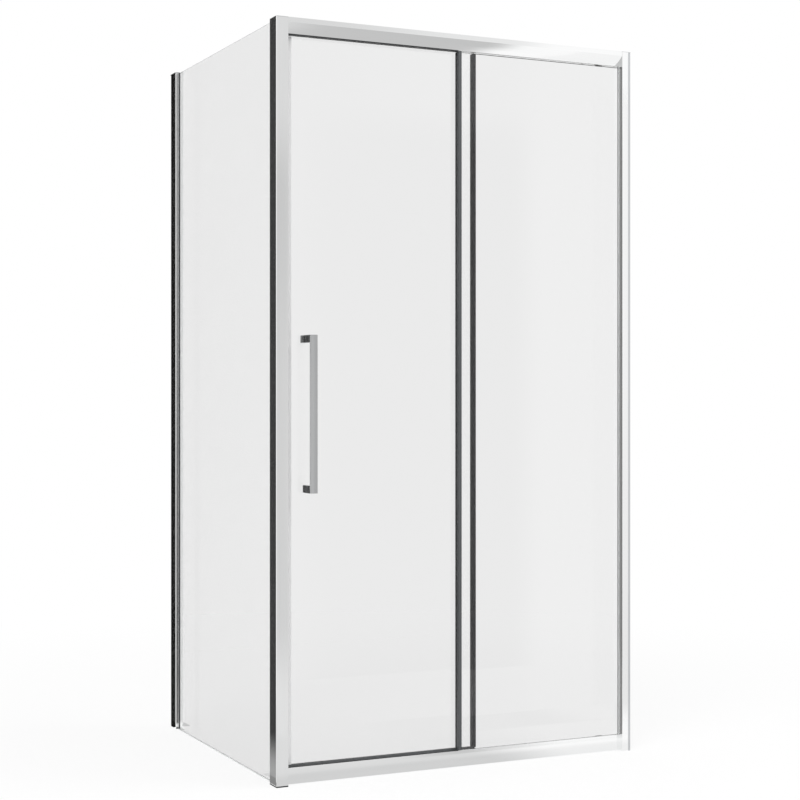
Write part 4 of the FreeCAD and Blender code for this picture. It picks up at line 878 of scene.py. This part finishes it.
# %% [markdown]
# The cards in front and behind
#
# The faces that look forward mirror one long grey card, which turns white to the right. Three more hang just
# before it: one at its left end for the post, darkest at three quarters of the height, a lower, darker one
# for the sloping band of the top rail, and one at its right end for the wall profile, whose front darkens
# towards its foot. The floor in front has tones of its own, with a lighter patch for the upper lip of the
# bottom rail. Behind, a pale card shades the faces that look back. Inside, a small dark card gives the jamb
# on the right its dark left face, two more part the front of the rear jamb in a grey strip outside the glass
# and a white one behind it, and a last one on the floor shades its foot.

# %% Cards in front and behind
WIDE_FRONT = (-1.6, 3.0)
FRONT_WALL = (-1.06, -1.05)
BEFORE_WALL = (-1.049, -1.048)
FURTHER_BEFORE = (-1.047, -1.046)
BESIDE_REAR_JAMB = (0.3, 0.301)

grey_front = card_tone("grey_front", 0.715, [(X, -0.2, 0.35, 1.0, 1.16), (X, 0.47, 0.67, 1.0, 1.205)])
grey_post = card_tone(
    "grey_post", 0.79,
    [(Z, 0.11, 0.35, 1.0, 0.835), (Z, 1.0, 1.6, 1.0, 0.91), (Z, 1.62, 1.92, 1.0, 1.215)],
    [(X, -0.285, -0.255, 1.0, 0.0)],
)
grey_low = card_tone(
    "grey_low", 0.567,
    [(X, 0.5, 0.64, 1.0, 1.76)],
    [(X, -0.25, 0.0, 0.0, 1.0), (Z, 1.75, 1.95, 1.0, 0.0)],
)
grey_jamb = card_tone(
    "grey_jamb", 0.83,
    [(Z, 0.0, 1.4, 1.0, 1.13)],
    [(X, 0.8, 0.86, 0.0, 1.0), (Z, 1.95, 2.04, 1.0, 0.0)],
)
grey_far = card_tone(
    "grey_far", 0.744,
    [(X, -0.1, 0.15, 1.0, 0.76), (X, 0.52, 0.74, 1.0, 1.76), (X, 0.75, 0.9, 1.0, 0.88)],
)
grey_lip = card_tone(
    "grey_lip", 0.73,
    [(X, 0.25, 0.5, 1.0, 1.35)],
    [(X, 0.15, 0.3, 0.0, 1.0), (X, 0.7, 0.9, 1.0, 0.0), (Y, -0.84, -0.81, 0.0, 1.0)],
)
grey_near = card_tone("grey_near", 0.735, [(X, 0.1, 0.4, 1.0, 1.36), (Y, -0.6, -0.5, 1.0, 0.9)])
grey_back = card_tone("grey_back", 0.97)
dark_right_jamb = card_tone("dark_right_jamb", 0.04, [(X, 0.47, 0.4845, 1.0, 7.0)])
grey_rear = card_tone("grey_rear", 0.3, [(Z, 0.2, 1.9, 0.3, 1.5)])
white_rear = card_tone("white_rear", 1.0)
grey_rear_floor = card_tone("grey_rear_floor", 0.1)
for name, tone, x, y, z in (
    ("card_front", grey_front, WIDE_FRONT, FRONT_WALL, TALL),
    ("card_front_post", grey_post, (-1.6, -0.25), FURTHER_BEFORE, TALL),
    ("card_front_low", grey_low, (-0.25, 3.0), BEFORE_WALL, (0.15, 2.0)),
    ("card_front_jamb", grey_jamb, (0.78, 1.1), FURTHER_BEFORE, (0.0, 2.05)),
    ("card_floor_far", grey_far, WIDE_FRONT, (-1.05, -0.64), ON_FLOOR),
    ("card_floor_lip", grey_lip, (0.1, 0.9), (-0.84, -0.64), (0.0035, 0.0045)),
    ("card_floor_near", grey_near, WIDE_FRONT, (-0.64, -0.432), ON_FLOOR),
    ("card_back", grey_back, (-0.8, 1.1), (1.9, 1.91), TALL),
    ("card_right_jamb", dark_right_jamb, (0.462, 0.4845), (-0.381, -0.38), (0.0, 2.2)),
    ("card_rear_grey", grey_rear, (-0.5135, -0.499), BESIDE_REAR_JAMB, STANDING),
    ("card_rear_white", white_rear, (-0.497, -0.472), BESIDE_REAR_JAMB, STANDING),
    ("card_rear_floor", grey_rear_floor, (-0.542, -0.526), (0.37, 0.402), OVER_FLOOR),
):
    hang_card(name, tone, x, y, z)
print("twelve cards hang in front and behind")

# %% [markdown]
# The lamps
#
# The room alone gives an even light without direction. Two large square lamps, the stronger one from the
# left, give the plastics and the satin strips a light side and a soft shadow. The metal doesn't mirror them.

# %% Lamps
LAMP_SIZE = 3.0
AIM = Vector((0, 0, 1))


def soft_lamp(name, place, watts):
    """A large square lamp that looks at the middle of the enclosure and isn't itself seen."""
    data = bpy.data.lights.new(name, "AREA")
    data.shape = "SQUARE"
    data.size = LAMP_SIZE
    data.energy = watts
    lamp = bpy.data.objects.new(name, data)
    lamp.location = place
    lamp.rotation_euler = (AIM - Vector(place)).to_track_quat("-Z", "Y").to_euler()
    lamp.visible_camera = False
    lamp.visible_glossy = False
    lamp.visible_transmission = False
    bpy.context.scene.collection.objects.link(lamp)
    print("hung", name)


soft_lamp("lamp_left", (-3.5, -3.5, 4.0), watts=180)
soft_lamp("lamp_right", (3.5, -2.5, 4.5), watts=120)

# %% [markdown]
# The end

# %% Finish
print("done")
